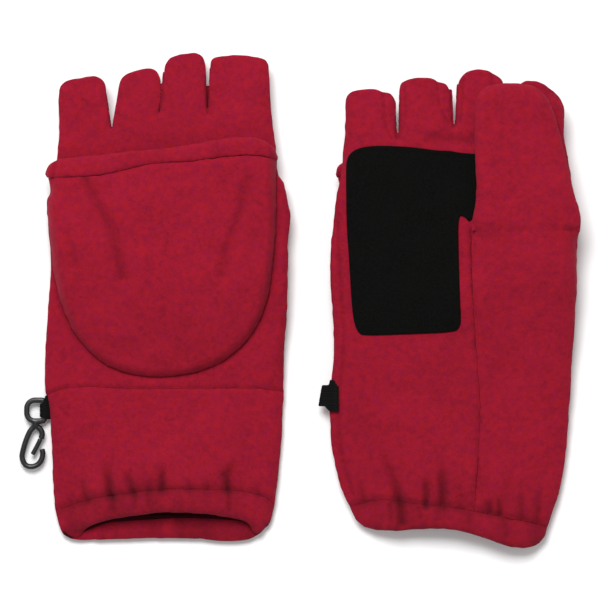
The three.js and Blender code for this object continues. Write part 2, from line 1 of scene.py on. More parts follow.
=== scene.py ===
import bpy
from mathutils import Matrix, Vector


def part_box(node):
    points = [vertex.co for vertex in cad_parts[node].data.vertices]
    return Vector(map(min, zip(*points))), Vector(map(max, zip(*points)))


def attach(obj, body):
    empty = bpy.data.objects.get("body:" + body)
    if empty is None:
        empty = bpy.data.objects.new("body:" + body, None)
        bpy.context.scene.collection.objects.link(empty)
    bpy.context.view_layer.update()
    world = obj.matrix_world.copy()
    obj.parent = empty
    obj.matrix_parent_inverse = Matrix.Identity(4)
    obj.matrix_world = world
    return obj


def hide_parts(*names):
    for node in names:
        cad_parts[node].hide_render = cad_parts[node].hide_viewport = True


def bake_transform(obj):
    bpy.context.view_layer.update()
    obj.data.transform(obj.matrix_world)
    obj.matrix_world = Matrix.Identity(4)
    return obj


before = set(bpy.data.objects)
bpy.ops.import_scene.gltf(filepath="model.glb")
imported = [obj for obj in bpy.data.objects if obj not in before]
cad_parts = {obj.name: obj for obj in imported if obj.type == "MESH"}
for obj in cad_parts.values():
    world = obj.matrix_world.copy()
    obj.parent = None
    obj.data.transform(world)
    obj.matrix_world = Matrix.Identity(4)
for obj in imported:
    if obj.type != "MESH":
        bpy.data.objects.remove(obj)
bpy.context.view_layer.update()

import math

import bmesh
import bpy
import numpy as np
from mathutils import Vector, kdtree
from mathutils.bvhtree import BVHTree
from mathutils.geometry import delaunay_2d_cdt

MM = 0.001
SIDES = ("left", "right")

# point spacing on the fleece, mm
SPACING = 1.1
EDGE_STEP = 0.55
FINE_BAND = 2.6
FUZZ = 0.22

# fleece, mm; a width is how far a groove or a shade spreads, a fade how far relief takes to start
FLEECE_THICKNESS = 1.7
MIN_HEIGHT = 1.2
MIN_CLOTH = 0.3
WAVE_FADE = 4.0
GATHER_FADE = 5.0
FOLD_FADE = 3.0
GROOVE_DEPTH = 0.85
GROOVE_WIDTH = 1.25
EDGE_HEIGHT = 0.35
GUSSET_HEIGHT = 1.9
LIP_ROLL = 0.7
LIP_RADIUS = 1.1

# the glove along y: where the half fingers start and where the back makes room for the turned hood
FINGER_Y = (66, 84)
FLIP_Y = (20, 55)
LIP_FINGER_Y = 94
GAP_INSET = 3.0
HAND_RADIUS = 6.5
FINGER_RADIUS = 9.0
FINGER_CROWN = 1.2
BACK_CROWN = 0.3
FLIP_ROOM = 0.7
GATHER_DEPTH = 0.75
GATHER_Y = (-70, -94)
HEM_THICKNESS = 3.2
HEM_PLEAT = 0.6
HEM_ROLL = 1.3
HEM_ROLL_RADIUS = 5.0
HEM_SINK = 1.0
HEM_SINK_WIDTH = 2.6
HEM_GROOVE = 0.45
ELASTIC_THICK = 0.9
BAND_INSET = 14.0
THUMB_RADIUS = 8.5
THUMB_CROWN = 1.2
PATCH_RISE = 1.05
PATCH_LIFT = 0.15
PATCH_STITCH_DEPTH = 0.28
PATCH_STITCH_INSET = 2.4
PATCH_STITCH_WIDTH = 0.7
PATCH_EDGE_ROLL = 0.45
HOOD_LOFT = 0.75
HOOD_RADIUS = 4.5
HOOD_CROWN_RADIUS = 22.0
HOOD_EDGE = 0.5
HOOD_WAVES = 1.4
HOOD_GROOVE_WIDTH = 1.6
HOOD_LIFT = 0.3
HOOD_BACK_THICKNESS = 1.4
HOOD_BACK_SCALE = 0.97
HOOD_BACK_TOP = 66.5
HOOD_HEM_THICK = 3.4
HOOD_HEM_RADIUS = 3.6
RIM_SINK = 1.0
RIM_WIDTH = 2.0

# painted shade, as how much darker the fleece colour is made: in folds and gathers, at seams, along the hems
# and their lips, at the hood's rim and toward the cuff; NAP_SHADE is random brightness of the nap
FOLD_SHADE = 0.50
FOLD_DEEP = 2.4
GATHER_MIN_WIDTH = 1.2
GATHER_END_Y = -88
NAP_SHADE = 0.045
HOOD_FOLD_SHADE = 0.27
LIP_SHADE = 0.14
SEAM_SHADE = 0.16
SEAM_SHADE_WIDTH = 2.2
LIP_SHADE_WIDTH = 2.6
RIM_SHADE = 0.22
RIM_SHADE_WIDTH = 1.6
PLEAT_SHADE = 0.15
FOLD_START = (-0.05, 0.75)
GATHER_SHADE = 0.10
HEM_SHADE = 0.11
CUFF_SHADE = 0.05
CUFF_SHADE_Y = (-42, -70)
BEND_Y = (26.0, 42.0)

# working frame: where the thumb's outer face and hinge end stand
THUMB_OUTER_Z = -7.5
THUMB_BASE_Y = 34.0
THUMB_ROOT_Y = (22, 42)
THUMB_CROWN_Y = (25, 60)
THUMB_SEAM_Z = -4.5
SEAM_LEAN = 0.8


# ---- working frame of one mitten: millimetres, back of the hand up, x = 0 on the middle of the cuff ----

class Mitten:
    def __init__(self, side):
        self.side = side
        low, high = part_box(f"{side}_cuff_hem")
        thumb_low, thumb_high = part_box(f"{side}_thumb_front")
        turned = side == "right"
        self.x = (low.x + high.x) / 2 / MM
        self.y = thumb_low.y / MM - THUMB_BASE_Y
        self.z = (thumb_high.z if turned else thumb_low.z) / MM
        self.sign = -1.0 if turned else 1.0

    def to_work(self, co):
        out = co / MM
        out[:, 0] -= self.x
        out[:, 1] -= self.y
        out[:, 2] = THUMB_OUTER_Z + self.sign * (out[:, 2] - self.z)
        return out

    def to_row(self, work):
        out = work.copy()
        out[:, 2] = np.maximum(self.z + self.sign * (out[:, 2] - THUMB_OUTER_Z), 0)
        out[:, 0] += self.x
        out[:, 1] += self.y
        return out * MM


MITTENS = {side: Mitten(side) for side in SIDES}


# ---- numbers ----

def coords(mesh):
    flat = np.empty(len(mesh.vertices) * 3, np.float32)
    mesh.vertices.foreach_get("co", flat)
    return flat.reshape(-1, 3).astype(float)


def set_coords(mesh, co):
    mesh.vertices.foreach_set("co", co.astype(np.float32).ravel())
    mesh.update()


def normals(mesh):
    flat = np.empty(len(mesh.vertices) * 3, np.float32)
    mesh.vertices.foreach_get("normal", flat)
    return flat.reshape(-1, 3).astype(float)


def edges(mesh):
    flat = np.empty(len(mesh.edges) * 2, np.int32)
    mesh.edges.foreach_get("vertices", flat)
    return flat.reshape(-1, 2)


def relax(co, pairs, rounds, share=0.5):
    """Evens out a mesh by moving each point towards the mean of its neighbours."""
    count = np.bincount(pairs.ravel(), minlength=len(co)).astype(float)
    for _ in range(rounds):
        total = np.zeros_like(co)
        for axis in range(3):
            total[:, axis] = (np.bincount(pairs[:, 0], co[pairs[:, 1], axis], len(co))
                              + np.bincount(pairs[:, 1], co[pairs[:, 0], axis], len(co)))
        co = co + share * (total / np.maximum(count, 1)[:, None] - co)
    return co


def ease(value, start, end):
    t = np.clip((value - start) / (end - start), 0, 1)
    return t * t * (3 - 2 * t)


def hash_noise(cells, seed):
    """A repeatable random number from -1 to 1 for each whole-number cell."""
    c = cells.astype(np.int64)
    n = (c[:, 0] * 73856093) ^ (c[:, 1] * 19349663) ^ (c[:, 2] * 83492791) ^ (seed * 2654435761)
    n = (n ^ (n >> 13)) * 1274126177
    n = (n ^ (n >> 16)) & 0x7FFFFFFF
    return n / float(0x3FFFFFFF) - 1.0


def noise(points, size, seed):
    """Smooth noise from -1 to 1 with lumps of about the given size."""
    if points.shape[1] == 2:
        points = np.column_stack([points, np.zeros(len(points))])
    scaled = points / size
    base = np.floor(scaled)
    part = scaled - base
    part = part * part * (3 - 2 * part)
    total = np.zeros(len(points))
    for dx in (0, 1):
        for dy in (0, 1):
            for dz in (0, 1):
                weight = ((part[:, 0] if dx else 1 - part[:, 0])
                          * (part[:, 1] if dy else 1 - part[:, 1])
                          * (part[:, 2] if dz else 1 - part[:, 2]))
                total += weight * hash_noise(base + np.array([dx, dy, dz]), seed)
    return total


def tree_of(points):
    tree = kdtree.KDTree(max(len(points), 1))
    for i, p in enumerate(points):
        tree.insert((p[0], p[1], 0), i)
    tree.balance()
    return tree


def distance(points, targets):
    """Distance in plan from each point to the closest target."""
    if not len(targets):
        return np.full(len(points), 1e3)
    tree = tree_of(targets)
    return np.array([tree.find((p[0], p[1], 0))[2] for p in points])


def bell(away, width):
    return np.exp(-(away / width) ** 2)


def fade(away, reach):
    return np.clip(away / reach, 0, 1)


def round_edge(away, radius):
    t = np.clip(away / radius, 0, 1)
    return np.sqrt(np.clip(1 - (1 - t) ** 2, 0, 1))


def to_path(points, path):
    """Distance in plan from each point to a run of segments, and the closest place along it (0 to 1)."""
    best, place = np.full(len(points), 1e3), np.zeros(len(points))
    for k, ((ax, ay), (bx, by)) in enumerate(zip(path[:-1], path[1:])):
        a = np.array([ax, ay])
        d = np.array([bx - ax, by - ay])
        t = np.clip(((points[:, :2] - a) @ d) / (d @ d), 0, 1)
        away = np.linalg.norm(points[:, :2] - a - t[:, None] * d, axis=1)
        place = np.where(away < best, (k + t) / (len(path) - 1), place)
        best = np.minimum(best, away)
    return best, place


# ---- heights of the panels, read from the frame's own solids ----

def work_mesh(mitten, node):
    """A frame node's points, joined where equal, and its faces, in the working frame."""
    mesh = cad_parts[node].data
    keys, points, ids = {}, [], []
    for p in mitten.to_work(coords(mesh)):
        key = tuple(np.round(p, 3))
        if key not in keys:
            keys[key] = len(points)
            points.append(p)
        ids.append(keys[key])
    faces = [[ids[v] for v in polygon.vertices] for polygon in mesh.polygons]
    return np.array(points), faces


class Heights:
    """The outer face of some nodes as a smoothed height over a square grid."""
    CELL = 2.0

    def __init__(self, mitten, names, up, blur=3.0):
        points, faces = [], []
        for name in names:
            p, f = work_mesh(mitten, f"{mitten.side}_{name}")
            faces += [[k + len(points) for k in face] for face in f]
            points += list(p)
        cloud = np.array(points)
        tree = BVHTree.FromPolygons([Vector(p) for p in points], faces)
        self.low = cloud[:, :2].min(0) - 8
        count = np.ceil((cloud[:, :2].max(0) + 8 - self.low) / self.CELL).astype(int) + 1
        grid = np.full(count, np.nan)
        for i in range(count[0]):
            for j in range(count[1]):
                x, y = self.low + self.CELL * np.array([i, j])
                hit = tree.ray_cast(Vector((x, y, 60 * up)), Vector((0, 0, -up)))[0]
                if hit:
                    grid[i, j] = hit.z
        known = np.argwhere(~np.isnan(grid))
        near = tree_of(known)
        for i, j in np.argwhere(np.isnan(grid)):
            grid[i, j] = grid[tuple(known[near.find((i, j, 0))[1]])]
        reach = int(3 * blur / self.CELL)
        weights = np.exp(-0.5 * (np.arange(-reach, reach + 1) * self.CELL / blur) ** 2)
        weights /= weights.sum()
        for axis in (0, 1):
            margin = [(reach, reach) if k == axis else (0, 0) for k in (0, 1)]
            padded = np.pad(grid, margin, mode="edge")
            count = grid.shape[axis]
            grid = sum(w * np.take(padded, range(k, k + count), axis) for k, w in enumerate(weights))
        self.grid = grid

    def at(self, points):
        place = np.clip((points[:, :2] - self.low) / self.CELL, 0, np.array(self.grid.shape) - 1.001)
        i, j = np.floor(place).astype(int).T
        s, t = (place - np.floor(place)).T
        g = self.grid
        return ((g[i, j] * (1 - s) + g[i + 1, j] * s) * (1 - t)
                + (g[i, j + 1] * (1 - s) + g[i + 1, j + 1] * s) * t)


# ---- soft outlines in the working frame, mm: the sewn edges of the cloth as it lies ----

SHAPES = {
    "left": {
        "fingers": [
            (-51.8, 100.8), (-51.1, 103), (-49.2, 104.8), (-45.6, 105.9), (-39.8, 107), (-35, 107.6),
            (-31.6, 106.8),
            (-29.9, 104.6), (-29.3, 100.8), (-28.8, 96), (-28.3, 91), (-27.8, 85.4), (-27.2, 82.2),
            (-26.5, 82.2),
            (-25.9, 85.4), (-25.1, 90), (-24.2, 95), (-23.6, 100), (-23.2, 103), (-22.1, 106),
            (-20, 108.2),
            (-17, 109.6), (-13.5, 110.6), (-9.6, 111.5), (-6.4, 111.2), (-4.5, 109.8), (-3.6, 107),
            (-3.1, 103),
            (-3.2, 98), (-3.7, 93), (-4.1, 89.8), (-3.5, 89.6), (-2.7, 93), (-2, 98), (-1.6, 102.5),
            (-1.7, 107),
            (-1.2, 111.5), (0, 115), (2, 116.8), (5.6, 117.9), (10, 118.5), (13.9, 118.6), (16.4, 117.8),
            (18, 115.8), (18.7, 112), (18.4, 106.6), (18.1, 101.8), (18.4, 97), (18.8, 92.5),
            (19.2, 89.2),
            (19.9, 89.3), (20.4, 94), (20.5, 99), (20.4, 104), (20.5, 109.5), (20.9, 114), (22, 116.2),
            (24.5, 117), (29.3, 117.5), (35, 117.6), (40.8, 117.2), (45.2, 116.4), (47.6, 115.4),
            (48.7, 113.2)],
        "little_hand": [
            (-51.8, 100.8), (-52.3, 96), (-52.1, 90), (-51.8, 81.6), (-52.3, 75.8), (-52.8, 70),
            (-53.5, 62.4),
            (-55, 55.2), (-56.8, 48), (-57.6, 42), (-57.2, 34.6), (-56.2, 27), (-55.8, 18.2),
            (-56, 8.6), (-56.9, 1),
            (-57.6, -7.7), (-58.4, -18.2), (-58.9, -27), (-59.2, -35.5), (-59.3, -42), (-58.1, -46.1)],
        "little_cuff": [(-58.1, -46.1), (-56.9, -50), (-56.4, -56), (-56.2, -62.4), (-55.6, -72),
            (-55.4, -81.6),
                        (-55.1, -89.3), (-54.6, -96), (-54.1, -100.8)],
        "index_hand": [
            (48.7, 113.2), (49, 107.5), (49.4, 98.9), (50.4, 87.4), (51.4, 78.7), (52.3, 73),
            (52.8, 67.2),
            (52.9, 61.5), (54.7, 58), (56.4, 56), (57, 52.5), (58, 48), (59.2, 42), (59.2, 38),
            (58.6, 33)],
        "index_low": [(58.6, 33), (57.9, 27), (58.1, 18.2), (57.9, 3.8), (57.4, -7.7), (57, -13.4),
            (56.4, -21.6),
                      (55.8, -33.6), (56, -44.4)],
        "index_cuff": [(56, -44.4), (55.6, -50.4), (55.2, -60), (54.8, -69.6), (54.2, -75.8),
            (53.5, -81.6),
                       (52.8, -88.3), (51.9, -95), (51.3, -99)],
        "cross": [(-58.1, -46.1), (-55.2, -44.2), (-50.4, -42.7), (-42.7, -41.8), (-34.1, -42),
            (-22.6, -42.7),
                  (6.2, -42.7), (39.8, -42.5), (49.4, -43.2), (56, -44.4)],
        "back_hem_top": [(-54.1, -100.8), (-50, -100.2), (-41.8, -97.2), (-34, -95.4), (-26.9, -94.1),
            (-10.6, -91.6),
                         (2.9, -90.8), (18.2, -90.8), (34.6, -91.8), (43.7, -93.6), (49, -96.4),
                         (51.3, -99)],
        "back_little": [(-54.1, -100.8), (-53.2, -105.6), (-51.8, -109.9), (-49.8, -112.4)],
        "back_index": [(51.3, -99), (50.6, -104), (49.6, -107), (48.2, -109)],
        "back_mouth": [(-49.8, -112.4), (-47.6, -114.4), (-44.6, -115.4), (-42.6, -114.6), (-41, -112),
                       (-38.4, -109.4), (-32.2, -106.8), (-25.9, -105.2), (-14.4, -103.4), (-4.3, -102),
                       (8.2, -101.8), (20.6, -103), (30.7, -104.6), (36.4, -106), (39.2, -107.8),
                       (40.8, -111),
                       (42.4, -112.8), (44.4, -112), (46.1, -110.6), (48.2, -109)],
        "palm_hem_top": [(-54.1, -100.8), (-46, -102), (-30, -103), (0, -103.6), (30, -103), (44, -101),
            (51.3, -99)],
        "palm_little": [(-54.1, -100.8), (-53.2, -105.6), (-51.8, -109.9), (-49.9, -113)],
        "palm_index": [(51.3, -99), (50.2, -105.1), (48.5, -108.5)],
        "palm_mouth": [(-49.9, -113), (-46.6, -115.2), (-41.8, -115.9), (-32.2, -115.4), (-17.8, -114.9),
                       (6.2, -114.7), (18.2, -115.2), (24, -116.2), (31, -116.4), (37.4, -115.7),
                       (41.8, -114.2),
                       (45.6, -111.4), (48.5, -108.5)],
    },
    "right": {
        "fingers": [
            (-53.5, 96), (-52.6, 98.6), (-50.4, 100.2), (-46, 101), (-42, 101.2), (-38.4, 101),
            (-36.2, 99.8),
            (-33, 99.2), (-31, 98.2), (-29.8, 96), (-29.5, 92), (-29.5, 86), (-29.5, 79), (-28.7, 76.8),
            (-27.9, 77.4), (-27.4, 81), (-27.1, 88), (-27.3, 96), (-27.8, 101.4), (-26.8, 104.4),
            (-24, 105.6),
            (-20, 106.4), (-14, 106.7), (-11, 105.8), (-9.2, 104.4), (-5.6, 103.8), (-3.9, 102),
            (-3.4, 98),
            (-3.2, 92), (-2.9, 86.4), (-2, 82.8), (-0.9, 83), (-0.2, 86.4), (0, 92), (0.3, 99),
            (0.6, 104.6),
            (2.4, 107.6), (5.3, 109.8), (10.5, 110.6), (14.6, 110), (17.4, 108.2), (20.6, 106.6),
            (22.2, 103.8),
            (22.5, 98), (22.6, 88), (23, 84.2), (23.9, 84.2), (24.4, 88), (24.6, 94), (25.4, 98),
            (27.6, 101.6),
            (31.5, 104.6), (35, 105.4), (39.8, 104.1), (44.6, 101.5), (48.2, 98.2), (49.8, 95.6)],
        "little_hand": [
            (-53.5, 96), (-53.6, 86.4), (-53.8, 78.7), (-54.6, 72), (-55, 63), (-56.6, 55.2),
            (-58.3, 48.5),
            (-58.8, 41.3), (-60, 31.7), (-61, 21.1), (-61, 11.5), (-60.2, 1), (-59.4, -10.6),
            (-59.1, -21.6),
            (-59.4, -30.7), (-60.2, -37.4), (-60.8, -44.2)],
        "little_cuff": [(-60.8, -44.2), (-61, -55.7), (-60.6, -63.4), (-60, -71), (-59, -76.8),
            (-57.8, -82.6),
                        (-56.2, -88.3), (-54, -94.6), (-51.4, -99.4)],
        "index_hand": [
            (49.8, 95.6), (50.9, 93.4), (51.6, 90.2), (51.4, 83.5), (51.2, 76.8), (52.3, 72),
            (54.2, 61.4),
            (55.4, 52.8), (57.4, 46.6), (58.8, 39.4), (58.6, 33)],
        "index_low": [(58.6, 33), (57.6, 30.2), (57.1, 23), (57.5, 13.4), (57.5, 7.7), (56.6, -4.8),
            (56.2, -18.2),
                      (55.2, -30.7), (54.7, -43.4)],
        "index_cuff": [(54.7, -43.4), (54.2, -50), (53.8, -59.5), (53.3, -67.2), (52.3, -76.8),
            (51.4, -82.6),
                       (50.4, -88.3), (49, -94.1), (47, -99.8), (45.1, -105.6), (43.6, -109.4)],
        "cross": [(-60.8, -44.2), (-54, -43.4), (40, -43.2), (54.7, -43.4)],
        "back_hem_top": [(-51.4, -99.4), (-43, -97.6), (-30, -97), (-10, -98.6), (8, -101.4), (20, -104),
                         (33, -106.6), (43.6, -109.4)],
        "back_little": [(-51.4, -99.4), (-50, -103), (-47.8, -106.8), (-44.6, -109.4)],
        "back_index": [(43.6, -109.4), (42.9, -113), (41.8, -115), (39.8, -117.1)],
        "back_mouth": [(-44.6, -109.4), (-39.4, -110.6), (-29.8, -111), (-20.2, -110.2), (-10.6, -109.6),
                       (-3.4, -110), (2.4, -111.1), (8.6, -112.8), (15.8, -115.2), (22.1, -117.4),
                       (26.9, -118.8),
                       (32.2, -119.3), (36.5, -118.8), (39.8, -117.1)],
        "palm_hem_top": [(-51.4, -99.4), (-47.4, -98.6), (-43.2, -97.2), (-35.5, -95.8), (-27.4, -96.9),
                         (-19.2, -98), (-6.7, -99), (7.9, -101.4), (20.6, -104), (33.6, -106.6),
                         (43.6, -109.4)],
    },
}
for part in ("little", "index", "mouth"):
    SHAPES["right"][f"palm_{part}"] = SHAPES["right"][f"back_{part}"]

LONG_SEAM = [(6.7, 33), (6.7, 28.8), (6.9, 16.8), (7.2, 7.2), (7.7, 0), (8.6, -14.4), (9.6, -29.8), (11, -43.2),
             (11.5, -51.4), (11, -62.4), (10.1, -77.3), (9.1, -88.8)]
THUMB = [
    (6.7, 33), (6.8, 36.5), (7.6, 41.3), (8.6, 47), (9.1, 53.8), (8.6, 61.4), (8.2, 72), (8.1, 81.6),
    (8.2, 90.2),
    (8.6, 95.5), (10.1, 99.1), (13, 101.6), (17.3, 103.2), (23.5, 103.6), (30.2, 103.6), (36.3, 102.4),
    (40.5, 99.6), (43.7, 95.2), (46.1, 89.6), (48, 83), (49.8, 75.8), (51.4, 69), (53.2, 61.4),
    (54.9, 53.8),
    (56.4, 48.6), (57.9, 44), (58.8, 39.4), (58.9, 36), (58.6, 33)]
PATCH = [
    (1.5, 40.4), (0.4, 38.2), (0.7, 20), (1.3, 0), (1.9, -9.6), (1.2, -13.2), (-1.6, -15.5),
    (-22.6, -16.3),
    (-44.6, -17.1), (-47.4, -15.8), (-49.6, -10.6), (-50.8, 0), (-51.8, 19.2), (-53.1, 35.5),
    (-53.4, 61.4),
    (-53.1, 67.2), (-51.2, 70.6), (-46.6, 73.1), (-38.9, 74), (-27.4, 73.7), (-17.8, 72.8), (-10, 71.6),
    (-3.4, 71.5), (0.5, 70.6), (8.2, 70), (30, 69), (48, 68.6), (51.5, 68), (53.4, 61), (54.6, 52),
    (54.8, 46),
    (52, 42), (30, 41.2), (8, 40.6), (5.8, 37), (3.6, 39.9)]
HOOD_TOP = [
    (52.4, 67.4), (47.5, 68.2), (42.7, 69.1), (35, 69), (25.4, 68.1), (15.8, 66.7), (7.2, 65.8),
    (-4.3, 65.6),
    (-12, 64.2), (-22.6, 61.4), (-30.2, 59.8), (-37.9, 59), (-50.4, 58.7), (-57, 58.6)]
HOOD_SIDE = [
    (-57, 58.6), (-56.5, 56.6), (-55.9, 53.8), (-56.2, 50.9), (-57.7, 48.5), (-57.9, 45.1), (-57.2, 38.4),
    (-56, 28.8), (-55.3, 21.1), (-54.4, 14.4), (-53.3, 8.6), (-51.4, 0), (-47.7, -9.6), (-42.7, -18.8),
    (-35.3, -27), (-26.6, -32.6), (-17.8, -35.6), (-6.2, -37), (3.4, -36.6), (13.9, -34.7), (25, -30.6),
    (33.1, -24.8), (40, -17.6), (45.6, -7.7), (48.5, 1.9), (50.1, 11.5), (51.4, 23), (52.1, 33.6),
    (52.5, 45.1),
    (52.1, 57.6), (52.4, 67.4)]
# along the hood's hem: x, lower edge, upper edge
HOOD_HEM = np.array([
    (-58.2, 60.4, 60.9), (-57.6, 58.9, 63.2), (-56.2, 58.5, 65.2), (-52.3, 58.7, 67.6), (-41.8, 58.9, 68.4),
    (-32.2, 59.5, 69.2), (-21.6, 61.7, 70.6), (-12, 64.2, 71.6), (1.4, 65.7, 72.8), (11, 66.2, 74.2),
    (20.6, 67.5, 76), (25.4, 68.1, 77), (35, 69, 78), (42.7, 69.1, 77.8), (48.5, 68.2, 75.6), (52, 67.4, 72.4),
    (53.3, 67.2, 68.8)])

# inside the cuff, the inner faces above this line take painted shadow: the near-black copy of the fleece
MOUTH_SHADE = [(-46, -115), (-42, -112.6), (-36, -109.8), (-29.8, -107.6), (-22, -106.6), (-13.4, -106.2),
               (-2, -105.4), (9, -105.0), (20, -105.4), (30, -106.0), (38, -106.8), (46, -109.4)]


def curve(points, rounds=3):
    """A soft open line: its corners are cut back a few times, and its ends stay."""
    line = np.array(points, float)
    for _ in range(rounds):
        a, b = line[:-1], line[1:]
        cut = np.empty((2 * len(a), 2))
        cut[0::2], cut[1::2] = 0.75 * a + 0.25 * b, 0.25 * a + 0.75 * b
        line = np.vstack([line[:1], cut[1:-1], line[-1:]])
    lengths = np.linalg.norm(np.diff(line, axis=0), axis=1)
    run = np.concatenate([[0], np.cumsum(lengths)])
    stations = np.linspace(0, run[-1], max(int(round(run[-1] / EDGE_STEP)), 2) + 1)
    return np.column_stack([np.interp(stations, run, line[:, axis]) for axis in (0, 1)])


# folds sunk into the outer faces, as (path, width, depth); the same paths also get painted shade in the fleece
# colour
VALLEYS = {
    "left_cuff_back": [
        ([(-30.4, -76), (-28.6, -83), (-27, -94)], 1.9, 3.0),
        ([(-20.5, -81), (-18.5, -85.6), (-16.4, -92)], 1.7, 2.2),
        ([(-9, -84), (-8.6, -91)], 2.0, 1.0),
        ([(-3, -77), (-2.3, -83), (-2.2, -91)], 1.8, 2.6),
        ([(35.5, -77), (31, -80.6), (28.4, -84.6), (29.2, -91)], 2.0, 2.6),
        ([(20, -86), (19.4, -91)], 2.2, 0.9),
        ([(-46, -84), (-41, -90), (-38.5, -97)], 2.2, 1.6),
        ([(10, -84), (11, -91)], 2.2, 1.0),
        ([(42, -84), (44, -94)], 2.2, 1.1),
        ([(-49, -54.8), (-48, -55.4)], 0.7, 1.0),
        ([(-26, -95), (-25.8, -101.5)], 1.2, 1.3),
        ([(-15.5, -93.5), (-15.2, -100)], 1.2, 1.0),
        ([(-9, -93), (-8.8, -99.5)], 1.1, 0.9),
        ([(29.4, -93), (30, -101)], 1.2, 1.3),
    ],
    "left_hood_front": [
        ([(-39, 57.5), (-31.6, 42.7), (-25.4, 32), (-23, 22), (-21, 11)], 2.5, 1.9),
        ([(38.9, 57), (35.8, 42.7), (32, 32.6), (28.3, 22.6), (26.4, 12)], 2.5, 1.6),
        ([(-48, 32), (-43, 16)], 2.2, 0.9),
    ],
    "right_palm_panel": [
        ([(-44, -62), (-35.5, -76), (-30, -88.2), (-27, -98), (-26, -107)], 2.2, 3.4),
        ([(-15, -83), (-14.5, -88), (-14.6, -99)], 1.6, 2.6),
        ([(-7.4, -77), (-7.1, -84), (-6.8, -98)], 1.8, 2.2),
        ([(1.6, -88), (2.2, -100)], 2.0, 1.1),
        ([(-47, -84), (-44.5, -97)], 2.2, 1.5),
        ([(-57.4, 42), (-56.9, 26.4), (-56.2, 14.4), (-55.2, 0), (-54.4, -18.2), (-54.9, -31.2),
          (-56.4, -42.2), (-57, -58), (-56, -70), (-53.4, -82), (-49.6, -94)], 0.8, 1.0),
        ([(-35.6, 99), (-35.3, 97.4), (-35, 88.8), (-34.1, 81.6), (-31.4, 77.2)], 0.7, 0.9),
        ([(-25.4, 104), (-25, 96), (-25.1, 87.4), (-26.8, 79.7)], 0.7, 0.8),
        ([(-9.8, 105), (-8.9, 96), (-7.2, 90.2), (-3.9, 84.5)], 0.7, 0.9),
        ([(2.9, 106.6), (2.5, 96), (1.3, 85.4)], 0.7, 0.8),
        ([(16.8, 109), (17, 100)], 0.7, 0.9),
        ([(-12, 77.5), (-2, 77.4), (8, 76)], 3.2, 1.3),
        ([(-32, -99), (-31.4, -103), (-31.8, -106)], 1.2, 1.0),
        ([(-18.4, -100), (-17.4, -104.5)], 1.1, 1.0),
        ([(-8.5, -101.5), (-8.3, -105)], 1.2, 0.7),
        ([(6, -104), (6.4, -107)], 1.2, 0.6),
        ([(23.6, -108.5), (24.6, -113)], 1.2, 0.8),
    ],
    "right_thumb_outer": [
        ([(15.4, -94), (15.9, -102)], 1.8, 2.0),
        ([(20.4, -93), (20.8, -103)], 1.6, 2.2),
        ([(30, -86), (31.5, -105)], 2.6, 1.4),
        ([(40, -86), (39, -106)], 2.6, 1.4),
        ([(59.4, 34.4), (56, 33.6), (51, 33.8)], 1.1, 1.4),
        ([(14, 34.6), (30, 33.4), (46, 33.8)], 2.0, 0.35),
    ],
}


def in_loop(points, loop):
    inside = np.zeros(len(points), bool)
    x, y = points[:, 0], points[:, 1]
    for (ax, ay), (bx, by) in zip(loop, np.roll(loop, -1, 0)):
        if ay == by:
            continue
        crosses = ((ay > y) != (by > y)) & (x < (bx - ax) * (y - ay) / (by - ay) + ax)
        inside ^= crosses
    return inside


def triangulate(loop, spacing, line=None):
    """Even points inside an outline, closer together near its edge, joined into triangles.

    Triangle sides follow the line, where there is one."""
    half = spacing / 2
    low, high = loop.min(0), loop.max(0)
    gx, gy = np.meshgrid(np.arange(low[0], high[0], half), np.arange(low[1], high[1], half), indexing="ij")
    ix, iy = np.meshgrid(np.arange(gx.shape[0]), np.arange(gx.shape[1]), indexing="ij")
    grid = np.column_stack([(gx + half * (iy // 2 % 2)).ravel(), gy.ravel()])
    coarse = ((ix % 2 == 0) & (iy % 2 == 0)).ravel()
    grid_inside = in_loop(grid, loop)
    grid, coarse = grid[grid_inside], coarse[grid_inside]
    away = distance(grid, loop)
    keep = (away > 0.4 * half + 0.12) & (coarse | (away < FINE_BAND))
    points = [Vector(p) for p in loop]
    constraints = []
    if line is not None:
        line = line[in_loop(line, loop) & (distance(line, loop) > 0.4 * half)]
        keep &= distance(grid, line) > 0.6 * half
        constraints = [(len(points) + k, len(points) + k + 1) for k in range(len(line) - 1)]
        points += [Vector(p) for p in line]
    points += [Vector(p) for p in grid[keep]]
    ring = list(range(len(loop)))
    found = delaunay_2d_cdt(points, constraints, [ring], 1, 1e-5)
    return np.array([tuple(p) for p in found[0]]), found[2]


def outward(mesh):
    """Turns a closed mesh's faces outwards."""
    work = bmesh.new()
    work.from_mesh(mesh)
    bmesh.ops.recalc_face_normals(work, faces=work.faces)
    work.to_mesh(mesh)
    work.free()


def set_shade(mesh, values):
    attribute = mesh.attributes.new("shade", "FLOAT", "POINT")
    attribute.data.foreach_set("value", values.astype(np.float32))


def get_shade(mesh):
    values = np.empty(len(mesh.vertices), np.float32)
    mesh.attributes["shade"].data.foreach_get("value", values)
    return values


